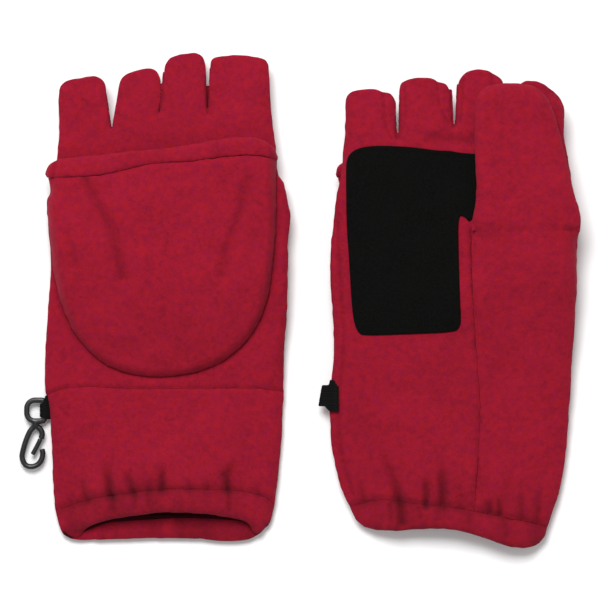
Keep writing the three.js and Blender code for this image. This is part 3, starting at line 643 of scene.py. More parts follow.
def sheet_mesh(name, mitten, loop, skin, spacing, inside=None, line=None):
    """A closed cloth piece: skin(points) gives the heights of its outer and inner faces.

    inside(points) picks the inner faces that take the painted shadow of the hollow; line edges that part."""
    plan, faces = triangulate(loop, spacing, line)
    outer, inner, *shade = skin(plan)
    count = len(plan)
    co = np.vstack([np.column_stack([plan, outer]), np.column_stack([plan, inner])])
    used = {}
    for face in faces:
        for i, j in zip(face, face[1:] + face[:1]):
            used[(i, j)] = True
    walls = [(i, j, j + count, i + count) for i, j in used if (j, i) not in used]
    polygons = [tuple(f) for f in faces] + [tuple(k + count for k in reversed(f)) for f in faces]
    polygons += [tuple(reversed(w)) for w in walls]
    mesh = bpy.data.meshes.new(name)
    mesh.from_pydata(mitten.to_row(co).tolist(), [], polygons)
    outward(mesh)
    set_shade(mesh, np.tile(shade[0] if shade else np.ones(count), 2))
    if inside is not None:
        middles = np.array([plan[list(f)].mean(0) for f in faces])
        slots = np.zeros(len(polygons), np.int32)
        slots[len(faces):2 * len(faces)] = inside(middles)
        mesh.polygons.foreach_set("material_index", slots)
    return mesh


def new_object(name, mesh, material):
    piece = bpy.data.objects.new(name, mesh)
    bpy.context.scene.collection.objects.link(piece)
    slots = np.zeros(len(mesh.polygons), np.int32)
    mesh.polygons.foreach_get("material_index", slots)
    mesh.materials.clear()
    mesh.materials.append(material)
    # inner faces picked by inside() take the painted-shadow copy of the fleece
    if slots.any():
        mesh.materials.append(FLEECE_INSIDE_PAINTED_SHADOW)
    mesh.polygons.foreach_set("material_index", slots)
    return piece


def finish_piece(name, mesh, material, body, nodes):
    mesh.polygons.foreach_set("use_smooth", [True] * len(mesh.polygons))
    mesh.update()
    piece = new_object(name, mesh, material)
    if body:
        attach(piece, body)
    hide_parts(*nodes)
    return piece


def pile(points, seed):
    return 0.16 * noise(points, 3.0, seed) + 0.10 * noise(points, 1.6, seed + 1)


# ---- one mitten ----

class Panels:
    """Heights of one mitten's layers, and the side seam between back and palm."""

    def __init__(self, mitten):
        side = mitten.side
        self.back = Heights(mitten, ["hand_back", "cuff_back"], 1)
        self.palm = Heights(mitten, ["palm_panel"], -1)
        self.thumb = Heights(mitten, ["thumb_front", "thumb_side_panel"], -1)
        self.thumb_in = Heights(mitten, ["thumb_back"], 1)
        self.hood = Heights(mitten, ["hood_front"], 1, 5.0)
        self.hood_in = Heights(mitten, ["hood_back"], -1)
        self.hem_back = Heights(mitten, ["cuff_hem"], 1)
        self.hem_palm = Heights(mitten, ["cuff_hem"], -1)
        y = np.arange(-125, 125, 2.0)
        left = np.column_stack([np.full(len(y), -50.0), y])
        right = np.column_stack([np.full(len(y), 50.0), y])
        self.middle_y = y
        self.middle_z = sum(h.at(p) for h in (self.back, self.palm) for p in (left, right)) / 4

    def middle(self, points):
        return np.interp(points[:, 1], self.middle_y, self.middle_z)


# ---- materials ----

def nodes_of(name):
    material = bpy.data.materials.new(name)
    material.use_nodes = True
    tree = material.node_tree
    return material, tree, tree.nodes["Principled BSDF"]


def add(tree, kind, **inputs):
    node = tree.nodes.new(kind)
    for key, value in inputs.items():
        node.inputs[key.replace("_", " ")].default_value = value
    return node


def pattern(tree, kind="Noise", bands=None, **inputs):
    """A texture fixed to the piece, from 0 to 1."""
    node = add(tree, f"ShaderNodeTex{kind}", **inputs)
    if bands:
        node.bands_direction = bands
    tree.links.new(tree.nodes.new("ShaderNodeTexCoord").outputs["Object"], node.inputs["Vector"])
    return node.outputs["Fac"]


def mix_colour(tree, factor, a, b):
    node = tree.nodes.new("ShaderNodeMix")
    node.data_type = "RGBA"
    tree.links.new(factor, node.inputs[0])
    for socket, value in ((node.inputs[6], a), (node.inputs[7], b)):
        if isinstance(value, bpy.types.NodeSocket):
            tree.links.new(value, socket)
        else:
            socket.default_value = (*value, 1)
    return node.outputs[2]


def remap(tree, value, low, high, to_low=0.0, to_high=1.0):
    node = add(tree, "ShaderNodeMapRange", From_Min=low, From_Max=high, To_Min=to_low, To_Max=to_high)
    tree.links.new(value, node.inputs["Value"])
    return node.outputs["Result"]


def bump(tree, shader, height, strength, depth, under=None):
    """Fine relief from a texture, on top of the relief under it."""
    node = add(tree, "ShaderNodeBump", Strength=strength, Distance=depth)
    tree.links.new(height, node.inputs["Height"])
    if under:
        tree.links.new(under, node.inputs["Normal"])
    tree.links.new(node.outputs["Normal"], shader.inputs["Normal"])
    return node.outputs["Normal"]


def surface(tree, shader, colour, roughness, specular=0.5):
    tree.links.new(colour, shader.inputs["Base Color"])
    shader.inputs["Roughness"].default_value = roughness
    shader.inputs["Specular IOR Level"].default_value = specular


WARM = (0.36, 0.0065, 0.0110)
COOL = (0.22, 0.0030, 0.0380)


def fleece_material(name, dark, mid, light, shade=1.0, painted_shade=True):
    material, tree, shader = nodes_of(name)

    def cloud(scale, detail, rough=0.55, distortion=0.0):
        return pattern(tree, Scale=scale, Detail=detail, Roughness=rough, Distortion=distortion)

    # shade below 1 makes a darker copy of the whole fleece: painted shade
    def tone(colour):
        return tuple(v * shade for v in colour)

    mottle, fibres = cloud(420, 4, 0.6, 0.4), cloud(1500, 3, 0.7, 0.8)
    colour = mix_colour(tree, remap(tree, mottle, 0.38, 0.62), tone(dark), tone(mid))
    for texture, start, end, share, other in (
            (cloud(60, 3), 0.3, 0.7, 0.4, light),
            (fibres, 0.45, 0.72, 0.5, light),
            (cloud(260, 5, 0.65, 0.6), 0.40, 0.60, 0.35, WARM),
            (cloud(330, 4, 0.6, 0.3), 0.46, 0.64, 0.35, COOL)):
        colour = mix_colour(tree, remap(tree, texture, start, end, 0.0, share), colour, tone(other))
    # painted shade: the mesh's shade attribute darkens the colour in folds, gathers, seams, hems and at the
    # hood's rim
    if painted_shade:
        attribute = tree.nodes.new("ShaderNodeAttribute")
        attribute.attribute_name = "shade"
        colour = mix_colour(tree, attribute.outputs["Fac"], (0, 0, 0), colour)
    surface(tree, shader, colour, 0.94, 0.15)
    shader.inputs["Sheen Weight"].default_value = 0.10
    shader.inputs["Sheen Roughness"].default_value = 0.45
    shader.inputs["Sheen Tint"].default_value = (1.0, 0.25, 0.40, 1)
    fine = bump(tree, shader, fibres, 0.55, 0.0004)
    bump(tree, shader, mottle, 0.5, 0.0007, fine)
    return material


def suede_material():
    material, tree, shader = nodes_of("grip_suede")
    nap = pattern(tree, Scale=900.0, Detail=4.0, Roughness=0.7)
    cloud = pattern(tree, Scale=90.0, Detail=3.0)
    base = mix_colour(tree, remap(tree, nap, 0.35, 0.7), (0.0007, 0.0007, 0.0006), (0.0032, 0.0032, 0.0029))
    colour = mix_colour(tree, remap(tree, cloud, 0.35, 0.7, 0, 0.5), base, (0.0026, 0.0025, 0.0022))
    surface(tree, shader, colour, 0.95, 0.1)
    bump(tree, shader, nap, 0.6, 0.0003)
    return material


def webbing_material():
    material, tree, shader = nodes_of("webbing")
    weave = tree.nodes.new("ShaderNodeMath")
    weave.operation = "MULTIPLY"
    for k, (scale, bands) in enumerate(((420.0, "Y"), (260.0, "DIAGONAL"))):
        tree.links.new(pattern(tree, "Wave", bands, Scale=scale, Distortion=0.4), weave.inputs[k])
    colour = mix_colour(tree, weave.outputs[0], (0.0008, 0.0008, 0.0010), (0.0045, 0.0045, 0.0050))
    surface(tree, shader, colour, 0.8, 0.15)
    bump(tree, shader, weave.outputs[0], 0.8, 0.0003)
    return material


def elastic_material():
    material, tree, shader = nodes_of("covered_elastic")
    ribs = pattern(tree, "Wave", "X", Scale=500.0)
    surface(tree, shader, mix_colour(tree, ribs, (0.45, 0.42, 0.38), (0.72, 0.70, 0.66)), 0.8)
    bump(tree, shader, ribs, 0.6, 0.0003)
    return material


def plastic_material():
    material, tree, shader = nodes_of("hook_plastic")
    scuff = pattern(tree, Scale=260.0, Detail=4.0, Roughness=0.7)
    worn = remap(tree, scuff, 0.4, 0.75)
    colour = mix_colour(tree, worn, (0.0025, 0.0025, 0.0035), (0.0080, 0.0080, 0.0105))
    surface(tree, shader, colour, 0.35)
    tree.links.new(remap(tree, scuff, 0.3, 0.7, 0.28, 0.42), shader.inputs["Roughness"])
    bump(tree, shader, pattern(tree, Scale=1400.0, Detail=2.0), 0.12, 0.0002)
    return material


CRIMSON = ((0.180, 0.0030, 0.0130), (0.258, 0.0042, 0.0188), (0.325, 0.0072, 0.0280))
FLEECE = fleece_material("crimson_fleece", *CRIMSON)
# a darker copy of the fleece for the gussets: painted shade in the gaps between the fingers
FLEECE_GUSSET_SHADED = fleece_material("crimson_fleece_gusset_painted_shade", *CRIMSON, shade=0.85, painted_shade=False)
# a near-black copy of the fleece for inner faces: painted shadow inside the mitten's hollow
FLEECE_INSIDE_PAINTED_SHADOW = fleece_material("crimson_fleece_inside_painted_shadow", *CRIMSON, shade=0.16)
SUEDE = suede_material()
WEBBING = webbing_material()
ELASTIC = elastic_material()
PLASTIC = plastic_material()


# ---- skins: where the outer and inner faces of each piece lie ----

class Outline:
    """A panel's closed outline, made of soft lines: free sides, seams, lips and finger gaps."""

    def __init__(self, *runs):
        self.kinds = {"side": [], "seam": [], "lip": [], "gusset": []}
        points = []
        for kind, line in runs:
            points.append(line[:-1])
            if kind == "fingers":
                along = np.gradient(line, axis=0)
                flat = (np.abs(along[:, 0]) > 1.2 * np.abs(along[:, 1])) & (line[:, 1] > LIP_FINGER_Y)
                self.kinds["lip"].append(line[flat])
                inner = (line[:, 0] > line[0, 0] + GAP_INSET) & (line[:, 0] < line[-1, 0] - GAP_INSET)
                self.kinds["gusset"].append(line[~flat & inner])
                self.kinds["side"].append(line[~flat & ~inner])
            else:
                self.kinds[kind].append(line)
        self.loop = np.vstack(points)
        for kind, lines in self.kinds.items():
            setattr(self, kind, np.vstack(lines) if lines else np.zeros((0, 2)))


def outlines(side):
    """The outline of every panel of one mitten."""
    c = {name: curve(points) for name, points in SHAPES[side].items()}
    split = int(np.argmin(np.abs(c["palm_hem_top"][:, 0] - LONG_SEAM[-1][0] + SEAM_LEAN)))
    hem_left, hem_right = c["palm_hem_top"][:split + 1], c["palm_hem_top"][split:]
    long_seam = curve(LONG_SEAM + [tuple(hem_right[0])])
    base = curve([c["index_hand"][-1], LONG_SEAM[0]])
    thumb = curve([LONG_SEAM[0]] + THUMB[1:-1] + [c["index_hand"][-1]])
    hood_top, hood_side = curve(HOOD_TOP), curve(HOOD_SIDE)
    return {
        "hand_back": Outline(("fingers", c["fingers"]), ("side", c["index_hand"]),
        ("side", c["index_low"]),
                             ("seam", c["cross"][::-1]), ("side", c["little_hand"][::-1])),
        "cuff_back": Outline(("seam", c["cross"]), ("side", c["index_cuff"]),
                             ("seam", c["back_hem_top"][::-1]), ("side", c["little_cuff"][::-1])),
        "hem_back": Outline(("seam", c["back_hem_top"]), ("side", c["back_index"]),
                            ("lip", c["back_mouth"][::-1]), ("side", c["back_little"][::-1])),
        "palm_panel": Outline(("fingers", c["fingers"]), ("side", c["index_hand"]), ("seam", base),
                              ("seam", long_seam), ("seam", hem_left[::-1]),
                              ("side", c["little_cuff"][::-1]),
                              ("side", c["little_hand"][::-1])),
        "hem_palm": Outline(("seam", c["palm_hem_top"]), ("side", c["palm_index"]),
                            ("lip", c["palm_mouth"][::-1]), ("side", c["palm_little"][::-1])),
        "thumb_outer": Outline(("side", thumb), ("side", c["index_low"]), ("side", c["index_cuff"]),
                               ("seam", hem_right[::-1]), ("seam", long_seam[::-1])),
        "thumb_back": Outline(("side", thumb), ("lip", base)),
        "palm_patch": Outline(("side", curve(PATCH + PATCH[:1]))),
        "hood_front": Outline(("seam", hood_top), ("side", hood_side)),
    }


def folds(points, key):
    """How deep the folds press into the face, and how much painted shade their valleys get (0 to 1)."""
    sink, dark = np.zeros(len(points)), np.zeros(len(points))
    for path, width, depth in VALLEYS.get(key, []):
        away, place = to_path(points, path)
        strength = np.ones(len(points))
        if width > GATHER_MIN_WIDTH and path[-1][1] < GATHER_END_Y:
            strength = ease(place, *FOLD_START)
        sink += strength * depth * bell(away, width)
        core, halo = bell(away, 0.5 * width), bell(away, 1.5 * width)
        dark += strength * min(depth / FOLD_DEEP, 1) * (0.6 * strength * core + 0.4 * halo)
    return sink, np.clip(dark, 0, 1)


def pleats(points, seed):
    stretched = np.column_stack([points[:, 0], points[:, 1] * 0.22])
    return noise(stretched, 6.4, seed) + 0.45 * noise(stretched, 3.1, seed + 1)


class Glove:
    """The faces of one mitten's glove, thumb and hood."""

    def __init__(self, side):
        self.side = side
        self.mitten = MITTENS[side]
        self.panels = Panels(self.mitten)
        self.seed = 11 if side == "left" else 47
        self.edges = outlines(side)

    def waves(self, points, seed=0):
        return 0.60 * noise(points, 26, self.seed + seed) + 0.34 * noise(points, 9.0, self.seed + seed + 1)

    def glove_height(self, points, name, up):
        """Height of a glove face above the side seam."""
        panels, edge = self.panels, self.edges[name]
        middle = panels.middle(points)
        panel = panels.back.at(points) if up > 0 else panels.palm.at(points)
        hemline = distance(points, self.hem_line(up))
        near = bell(hemline, HEM_SINK_WIDTH)
        key = name
        if name.startswith("hem"):
            key = "cuff_back" if up > 0 else "palm_panel"
            if up < 0:
                panel = np.where(points[:, 0] > LONG_SEAM[-1][0], panels.thumb.at(points), panel)
            hem = panels.hem_back if up > 0 else panels.hem_palm
            panel = near * panel + (1 - near) * hem.at(points)
        full = np.maximum(up * (panel - middle), MIN_HEIGHT)
        finger = ease(points[:, 1], *FINGER_Y)
        full += (BACK_CROWN if up > 0 else FINGER_CROWN) * finger
        if up > 0:
            full -= FLIP_ROOM * ease(points[:, 1], *FLIP_Y)
        radius = HAND_RADIUS + (FINGER_RADIUS - HAND_RADIUS) * finger
        side = distance(points, edge.side)
        gusset = distance(points, edge.gusset)
        height = EDGE_HEIGHT + (full - EDGE_HEIGHT) * round_edge(side, radius)
        height *= GUSSET_HEIGHT / full + (1 - GUSSET_HEIGHT / full) * round_edge(gusset, radius)
        free = np.minimum(side, gusset)
        height += up * self.waves(points) * fade(free, WAVE_FADE)
        height += self.gathers(points, up, near if name.startswith("hem") else 1) * fade(free, GATHER_FADE)
        height -= (folds(points, f"{self.side}_{key}")[0] + HEM_SINK * near) * fade(free, FOLD_FADE)
        if name == "hand_back":
            height -= RIM_SINK * bell(self.rim_distance(points), RIM_WIDTH) * fade(free, WAVE_FADE)
        return height, middle

    def rim_distance(self, points):
        return distance(points, self.edges["hood_front"].side[::2])

    def hem_line(self, up):
        return self.edges["hem_back" if up > 0 else "hem_palm"].seam

    def gathers(self, points, up, near):
        """Relief of the cloth gathered by the cuff's elastic; near is 1 above the hem and fades inside it."""
        depth = GATHER_DEPTH * near + HEM_PLEAT * (1 - near)
        return depth * ease(points[:, 1], *GATHER_Y) * pleats(points, self.seed + 5 + up)

    def shade(self, points, name, up):
        """Painted shade for each point, as a colour factor: darker in folds and gathers, beside seams, along
        the hem and its lip, at the hood's rim and toward the cuff, with random brightness of the nap.
        """
        key = {"hem_back": "cuff_back", "hem_palm": "palm_panel"}.get(name, name)
        shade = 1 - FOLD_SHADE * folds(points, f"{self.side}_{key}")[1]
        shade *= 1 + NAP_SHADE * (noise(points, 24, self.seed + 90) + 0.7 * noise(points, 9, self.seed + 91))
        shade *= 1 - SEAM_SHADE * bell(distance(points, self.hem_line(up)), SEAM_SHADE_WIDTH)
        # painted shade in the valleys of the gathered pleats
        painted_shade = np.clip(-pleats(points, self.seed + 5 + up), 0, 1) * ease(points[:, 1], *GATHER_Y)
        shade *= 1 - GATHER_SHADE * painted_shade
        shade *= 1 - CUFF_SHADE * ease(points[:, 1], *CUFF_SHADE_Y)
        # painted shade on the hem: darker overall, streaked along its pleats, darker still at the rolled lip
        if name.startswith("hem"):
            shade *= 1 - HEM_SHADE + PLEAT_SHADE * pleats(points, self.seed + 33)
            shade *= 1 - LIP_SHADE * bell(distance(points, self.edges[name].lip), LIP_SHADE_WIDTH)
        # painted shadow in the groove round the hood's rim
        if name == "hand_back":
            shade *= 1 - RIM_SHADE * bell(self.rim_distance(points), RIM_SHADE_WIDTH)
        return shade

    def glove_skin(self, name, up, thickness):
        edge = self.edges[name]

        def skin(points):
            height, middle = self.glove_height(points, name, up)
            seam = distance(points, edge.seam)
            lip = distance(points, edge.lip)
            groove = GROOVE_DEPTH * bell(seam, GROOVE_WIDTH)
            at_hem = distance(points, self.hem_line(up)) <= seam + 0.01
            groove = np.where(at_hem, groove * HEM_GROOVE, groove)
            roll = 1 - round_edge(lip, LIP_RADIUS * (2 if name.startswith("hem") else 1))
            if name.startswith("hem"):
                height -= HEM_ROLL * (1 - round_edge(lip, HEM_ROLL_RADIUS))
            outer = height - groove - LIP_ROLL * roll
            inner = np.maximum(height - thickness + LIP_ROLL * 0.7 * roll, 0.0)
            inner = np.minimum(inner, outer - MIN_CLOTH)
            outer = outer + pile(points, self.seed + 60 + up)
            return middle + up * outer, middle + up * inner, self.shade(points, name, up)
        return skin

    def thumb_skin(self, points):
        panels, edge = self.panels, self.edges["thumb_outer"]
        above = ease(points[:, 1], *THUMB_ROOT_Y)
        middle = panels.middle(points) * (1 - above) + THUMB_SEAM_Z * above
        source = panels.thumb.at(points) - THUMB_CROWN * ease(points[:, 1], *THUMB_CROWN_Y)
        full = np.maximum(middle - source, MIN_HEIGHT)
        side = distance(points, edge.side)
        seam = distance(points, edge.seam)
        height = EDGE_HEIGHT + (full - EDGE_HEIGHT) * round_edge(side, THUMB_RADIUS)
        height -= self.waves(points, 3) * fade(side, WAVE_FADE)
        height += self.gathers(points, -1, 1) * fade(side, GATHER_FADE)
        hemline = distance(points, self.hem_line(-1))
        sink = folds(points, f"{self.side}_thumb_outer")[0] + HEM_SINK * bell(hemline, HEM_SINK_WIDTH)
        height -= sink * fade(side, FOLD_FADE)
        groove = GROOVE_DEPTH * bell(seam, GROOVE_WIDTH)
        outer = height - np.where(hemline <= seam + 0.01, groove * HEM_GROOVE, groove)
        inner = np.minimum(np.maximum(height - FLEECE_THICKNESS, 0.0), outer - MIN_CLOTH)
        outer = outer + pile(points, self.seed + 64)
        return middle - outer, middle - inner, self.shade(points, "thumb_outer", -1)

    def thumb_back_skin(self, points):
        side = distance(points, self.edges["thumb_back"].side)
        full = self.panels.thumb_in.at(points) - THUMB_SEAM_Z
        height = EDGE_HEIGHT + (full - EDGE_HEIGHT) * round_edge(side, THUMB_RADIUS)
        outer = THUMB_SEAM_Z + height + np.minimum(self.waves(points), 0) * fade(side, WAVE_FADE)
        inner = THUMB_SEAM_Z + np.maximum(height - FLEECE_THICKNESS, 0.0)
        return outer, np.minimum(inner, outer - MIN_CLOTH)

    def back_face(self, points):
        height, middle = self.glove_height(points, "hand_back", 1)
        return middle + height

    def palm_face(self, points):
        height, middle = self.glove_height(points, "palm_panel", -1)
        return middle - height

    def patch_skin(self, points):
        away = distance(points, self.edges["palm_patch"].loop)
        face = self.palm_face(points)
        stitch = PATCH_STITCH_DEPTH * bell(away - PATCH_STITCH_INSET, PATCH_STITCH_WIDTH)
        edge = PATCH_EDGE_ROLL * (1 - round_edge(away, 1.0))
        nap = 0.06 * noise(points, 1.8, 91) + 0.10 * noise(points, 12, 92)
        return face - PATCH_RISE + stitch + edge - nap, face - PATCH_LIFT

    def hood_height(self, points, side):
        """Height of the hood's outer layer above the face of the glove."""
        full = HOOD_LOFT * (self.panels.hood.at(points) - self.panels.hood_in.at(points))
        rise = 0.5 * round_edge(side, HOOD_RADIUS) + 0.5 * round_edge(side, HOOD_CROWN_RADIUS)
        return HOOD_EDGE + (full - HOOD_EDGE) * rise

    def hood_skin(self, points):
        edge = self.edges["hood_front"]
        side, seam = distance(points, edge.side), distance(points, edge.seam)
        base = self.back_face(points) + HOOD_LIFT
        height = self.hood_height(points, side)
        height += HOOD_WAVES * self.waves(points, 7) * fade(side, 2 * WAVE_FADE)
        sink, dark = folds(points, f"{self.side}_hood_front")
        height -= sink * fade(side, GATHER_FADE)
        outer = height - GROOVE_DEPTH * bell(seam, HOOD_GROOVE_WIDTH)
        inner = np.minimum(np.maximum(height - FLEECE_THICKNESS, 0.0), outer - MIN_CLOTH)
        # painted shade in the hood's folds
        shade = 1 - HOOD_FOLD_SHADE * dark
        return base + outer + pile(points, self.seed + 66), base + inner, shade

    def hood_back_skin(self, points):
        base = self.back_face(points) + HOOD_LIFT
        return base + HOOD_BACK_THICKNESS, base + 0.05

    def hem_of_hood(self, points, rows):
        """Middle height of the rolled hood hem, and how far each point lies from its long edges."""
        low = np.interp(points[:, 0], rows[:, 0], rows[:, 1])
        high = np.interp(points[:, 0], rows[:, 0], rows[:, 2])
        ends = np.minimum(points[:, 0] - rows[0, 0], rows[-1, 0] - points[:, 0])
        across = np.clip(np.minimum(points[:, 1] - low, high - points[:, 1]), 0, None)
        top = self.hood_height(points, np.clip(ends, 0, None))
        return self.back_face(points) + HOOD_LIFT, top, across

    def hood_hem_skin(self, rows):
        def skin(points):
            base, top, across = self.hem_of_hood(points, rows)
            roll = HOOD_HEM_THICK / 2 * (1 - round_edge(across, HOOD_HEM_RADIUS))
            top = np.maximum(top, HOOD_HEM_THICK * 0.8) + 0.35 * noise(points, 9, self.seed + 70)
            top += 0.22 * pleats(points, self.seed + 71)
            bottom = np.maximum(top - HOOD_HEM_THICK, 0.1)
            middle = (top + bottom) / 2
            return (base + np.maximum(top - roll, middle + 0.12) + pile(points, self.seed + 72),
                    base + np.minimum(bottom + roll, middle - 0.12))
        return skin

    def hood_elastic_skin(self, rows):
        def skin(points):
            base, top, _ = self.hem_of_hood(points, rows)
            top = np.maximum(top, HOOD_HEM_THICK * 0.8)
            middle = (top + np.maximum(top - HOOD_HEM_THICK, 0.1)) / 2
            return base + middle + ELASTIC_THICK / 2, base + middle - ELASTIC_THICK / 2
        return skin


def rows_of(loop, inset_x=0.0, inset_y=0.0):
    """A band's lower and upper edge at even stations along it."""
    low, high = loop[:, 0].min() + 0.3 + inset_x, loop[:, 0].max() - 0.3 - inset_x
    rows = []
    closed = np.vstack([loop, loop[:1]])
    for x in np.linspace(low, high, 40):
        ys = []
        for (ax, ay), (bx, by) in zip(closed[:-1], closed[1:]):
            if (ax - x) * (bx - x) <= 0 and ax != bx:
                ys.append(ay + (by - ay) * (x - ax) / (bx - ax))
        rows.append((x, min(ys) + inset_y, max(ys) - inset_y))
    return np.array(rows)


def rows_loop(rows):
    low, high = curve(rows[:, :2]), curve(rows[:, [0, 2]])
    ends = [high[-1:], low[:1]]
    return np.vstack([low[:-1], curve(np.vstack([low[-1:], ends[0]]), 0)[:-1], high[::-1][:-1],
                      curve(np.vstack([high[:1], ends[1]]), 0)[:-1]])


def join_meshes(name, meshes):
    points, polygons, slots = [], [], []
    for mesh in meshes:
        polygons += [[v + sum(map(len, points)) for v in polygon.vertices] for polygon in mesh.polygons]
        slots += [polygon.material_index for polygon in mesh.polygons]
        points.append(coords(mesh))
    out = bpy.data.meshes.new(name)
    out.from_pydata(np.vstack(points).tolist(), [], polygons)
    out.polygons.foreach_set("material_index", slots)
    set_shade(out, np.concatenate([get_shade(mesh) for mesh in meshes]))
    return out


def sheet(side, name, loop, skin, material, body, nodes, spacing=SPACING, inside=None):
    mesh = sheet_mesh(name, MITTENS[side], loop, skin, spacing, inside)
    return finish_piece(name, mesh, material, body, nodes)


def fuzz(loop, seed):
    """Slight unevenness of a cut or sewn cloth edge."""
    shift = np.column_stack([noise(loop, 3.2, seed), noise(loop, 3.2, seed + 9)])
    return loop + FUZZ * shift


GLOVES = {}


def build_mitten(side):
    glove = GLOVES[side] = Glove(side)
    e = glove.edges
    seed = glove.seed
    body = f"{side}_glove"
    for name, up in (("hand_back", 1), ("cuff_back", 1), ("palm_panel", -1)):
        skin = glove.glove_skin(name, up, FLEECE_THICKNESS)
        # every inner face of these panels takes the painted shadow of the hollow
        sheet(side, f"fleece_{side}_{name}", fuzz(e[name].loop, seed), skin, FLEECE, body,
              [f"{side}_{name}"], inside=lambda p: np.ones(len(p), bool))
    halves = []
    shade = curve(MOUTH_SHADE)
    for name, up in (("hem_back", 1), ("hem_palm", -1)):
        skin = glove.glove_skin(name, up, HEM_THICKNESS)
        # the hem's inner faces above MOUTH_SHADE take the painted shadow of the cuff's opening
        halves.append(sheet_mesh(name, glove.mitten, fuzz(e[name].loop, seed), skin, SPACING * 0.8,
                                 lambda p: p[:, 1] > np.interp(p[:, 0], *shade.T), shade if up < 0 else None))
    finish_piece(f"fleece_{side}_cuff_hem", join_meshes("cuff_hem", halves), FLEECE, body,
                 [f"{side}_cuff_hem"])
    bands = []
    for name, up in (("hem_back", 1), ("hem_palm", -1)):
        rows = rows_of(e[name].loop, BAND_INSET, HEM_THICKNESS * 0.7)

        def elastic(points, name=name, up=up):
            height, middle = glove.glove_height(points, name, up)
            centre = np.maximum(height - HEM_THICKNESS / 2, 0.6)
            return middle + up * (centre + ELASTIC_THICK / 2), middle + up * (centre - ELASTIC_THICK / 2)
        bands.append(sheet_mesh(name, glove.mitten, rows_loop(rows), elastic, 2.4))
    finish_piece(f"band_{side}_cuff_elastic", join_meshes("cuff_elastic", bands), ELASTIC, body,
                 [f"{side}_cuff_elastic"])

    # the thumb and the palm's outer panel are one flowing face
    outer = sheet(side, f"fleece_{side}_thumb_outer", fuzz(e["thumb_outer"].loop, seed), glove.thumb_skin,
                  FLEECE, None, [f"{side}_thumb_front", f"{side}_thumb_side_panel"])
    bend = glove.mitten.to_row(np.array([[33.0, y, THUMB_SEAM_Z] for y in BEND_Y]))
    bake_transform(outer)
    sheet(side, f"fleece_{side}_thumb_back", fuzz(e["thumb_back"].loop, seed), glove.thumb_back_skin, FLEECE,
          f"{side}_thumb", [f"{side}_thumb_back"])
    sheet(side, f"suede_{side}_palm_patch", e["palm_patch"].loop, glove.patch_skin, SUEDE, body,
          [f"{side}_palm_patch"])

    # hood
    hood = f"{side}_hood"
    sheet(side, f"fleece_{side}_hood_front", fuzz(e["hood_front"].loop, seed), glove.hood_skin, FLEECE, hood,
          [f"{side}_hood_front"])
    inside = e["hood_front"].loop
    inside = inside[inside[:, 1] < HOOD_BACK_TOP]
    centre = inside.mean(0)
    inside = centre + (inside - centre) * HOOD_BACK_SCALE
    sheet(side, f"fleece_{side}_hood_back", inside, glove.hood_back_skin, FLEECE, hood,
          [f"{side}_hood_back"])
    rows = HOOD_HEM
    sheet(side, f"fleece_{side}_hood_hem", fuzz(rows_loop(rows), seed), glove.hood_hem_skin(rows), FLEECE,
          hood, [f"{side}_hood_hem"], SPACING * 0.8)
    inner_rows = rows[3:-2] + np.array([0, 2.2, -2.2])
    sheet(side, f"band_{side}_hood_elastic", rows_loop(inner_rows), glove.hood_elastic_skin(rows), ELASTIC,
          hood, [f"{side}_hood_elastic"], 2.4)


# ---- pieces that follow the frame's own solids closely ----

CORD_PITCH = 1.1
THREAD_PITCH = 0.8
CORD_HEIGHT = 0.07
THREAD_HEIGHT = 0.035
GUSSET_ROUGHNESS = 0.12
GUSSET_SWELL = 0.22
GUSSET_DROP = 2.4
HOOK_SWELL = 0.14
TONGUE_SWELL = 0.10


def voxel_copy(node, size):
    """A fine even mesh over a frame node."""
    copy = bpy.data.objects.new("voxel_work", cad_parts[node].data.copy())
    bpy.context.scene.collection.objects.link(copy)
    modifier = copy.modifiers.new("fine", "REMESH")
    modifier.mode = "VOXEL"
    modifier.voxel_size = size * MM
    bpy.context.view_layer.update()
    mesh = bpy.data.meshes.new_from_object(copy.evaluated_get(bpy.context.evaluated_depsgraph_get()))
    bpy.data.objects.remove(copy)
    return mesh


def gusset_relief(at):
    return GUSSET_SWELL + GUSSET_ROUGHNESS * noise(at, 2.0, 5)


def hook_relief(at):
    return np.full(len(at), HOOK_SWELL)


def tongue_relief(at):
    return np.full(len(at), TONGUE_SWELL)


# webbing tabs in the working frame: fold centre and radius, widths at the fold and at the seam
TAPES = {
    "left": {"fold": -59.6, "radius": 1.8, "thick": 0.6, "y": -53.3, "rise": 1.6, "widths": (6.4, 11.4),
             "slant": 0.0, "spread": (-60.7, -58.6), "bend": (-57.0, -58.6),
             "top": [(-55.8, 0.35), (-57.2, 1.0), (-58.5, 1.65)],
             "under": [(-58.5, -1.65), (-57.2, -1.0), (-56, -0.35)]},
    "right": {"fold": -64.2, "radius": 1.2, "thick": 0.8, "y": -46.0, "rise": 0.0, "widths": (10.2, 15.4),
              "slant": 0.17, "spread": (-62.8, -60.6), "bend": (-60.4, -62.6),
              "top": [(-56.9, None), (-58, None), (-59, None), (-59.8, None), (-61, -2.0), (-62.2, -1.5),
                      (-63.3, -1.25)],
              "under": [(-63.3, 1.2), (-62.2, 1.0), (-61.2, 0.7)]},
}
TAPE_STEP = 0.22
TAPE_GAP = 0.12


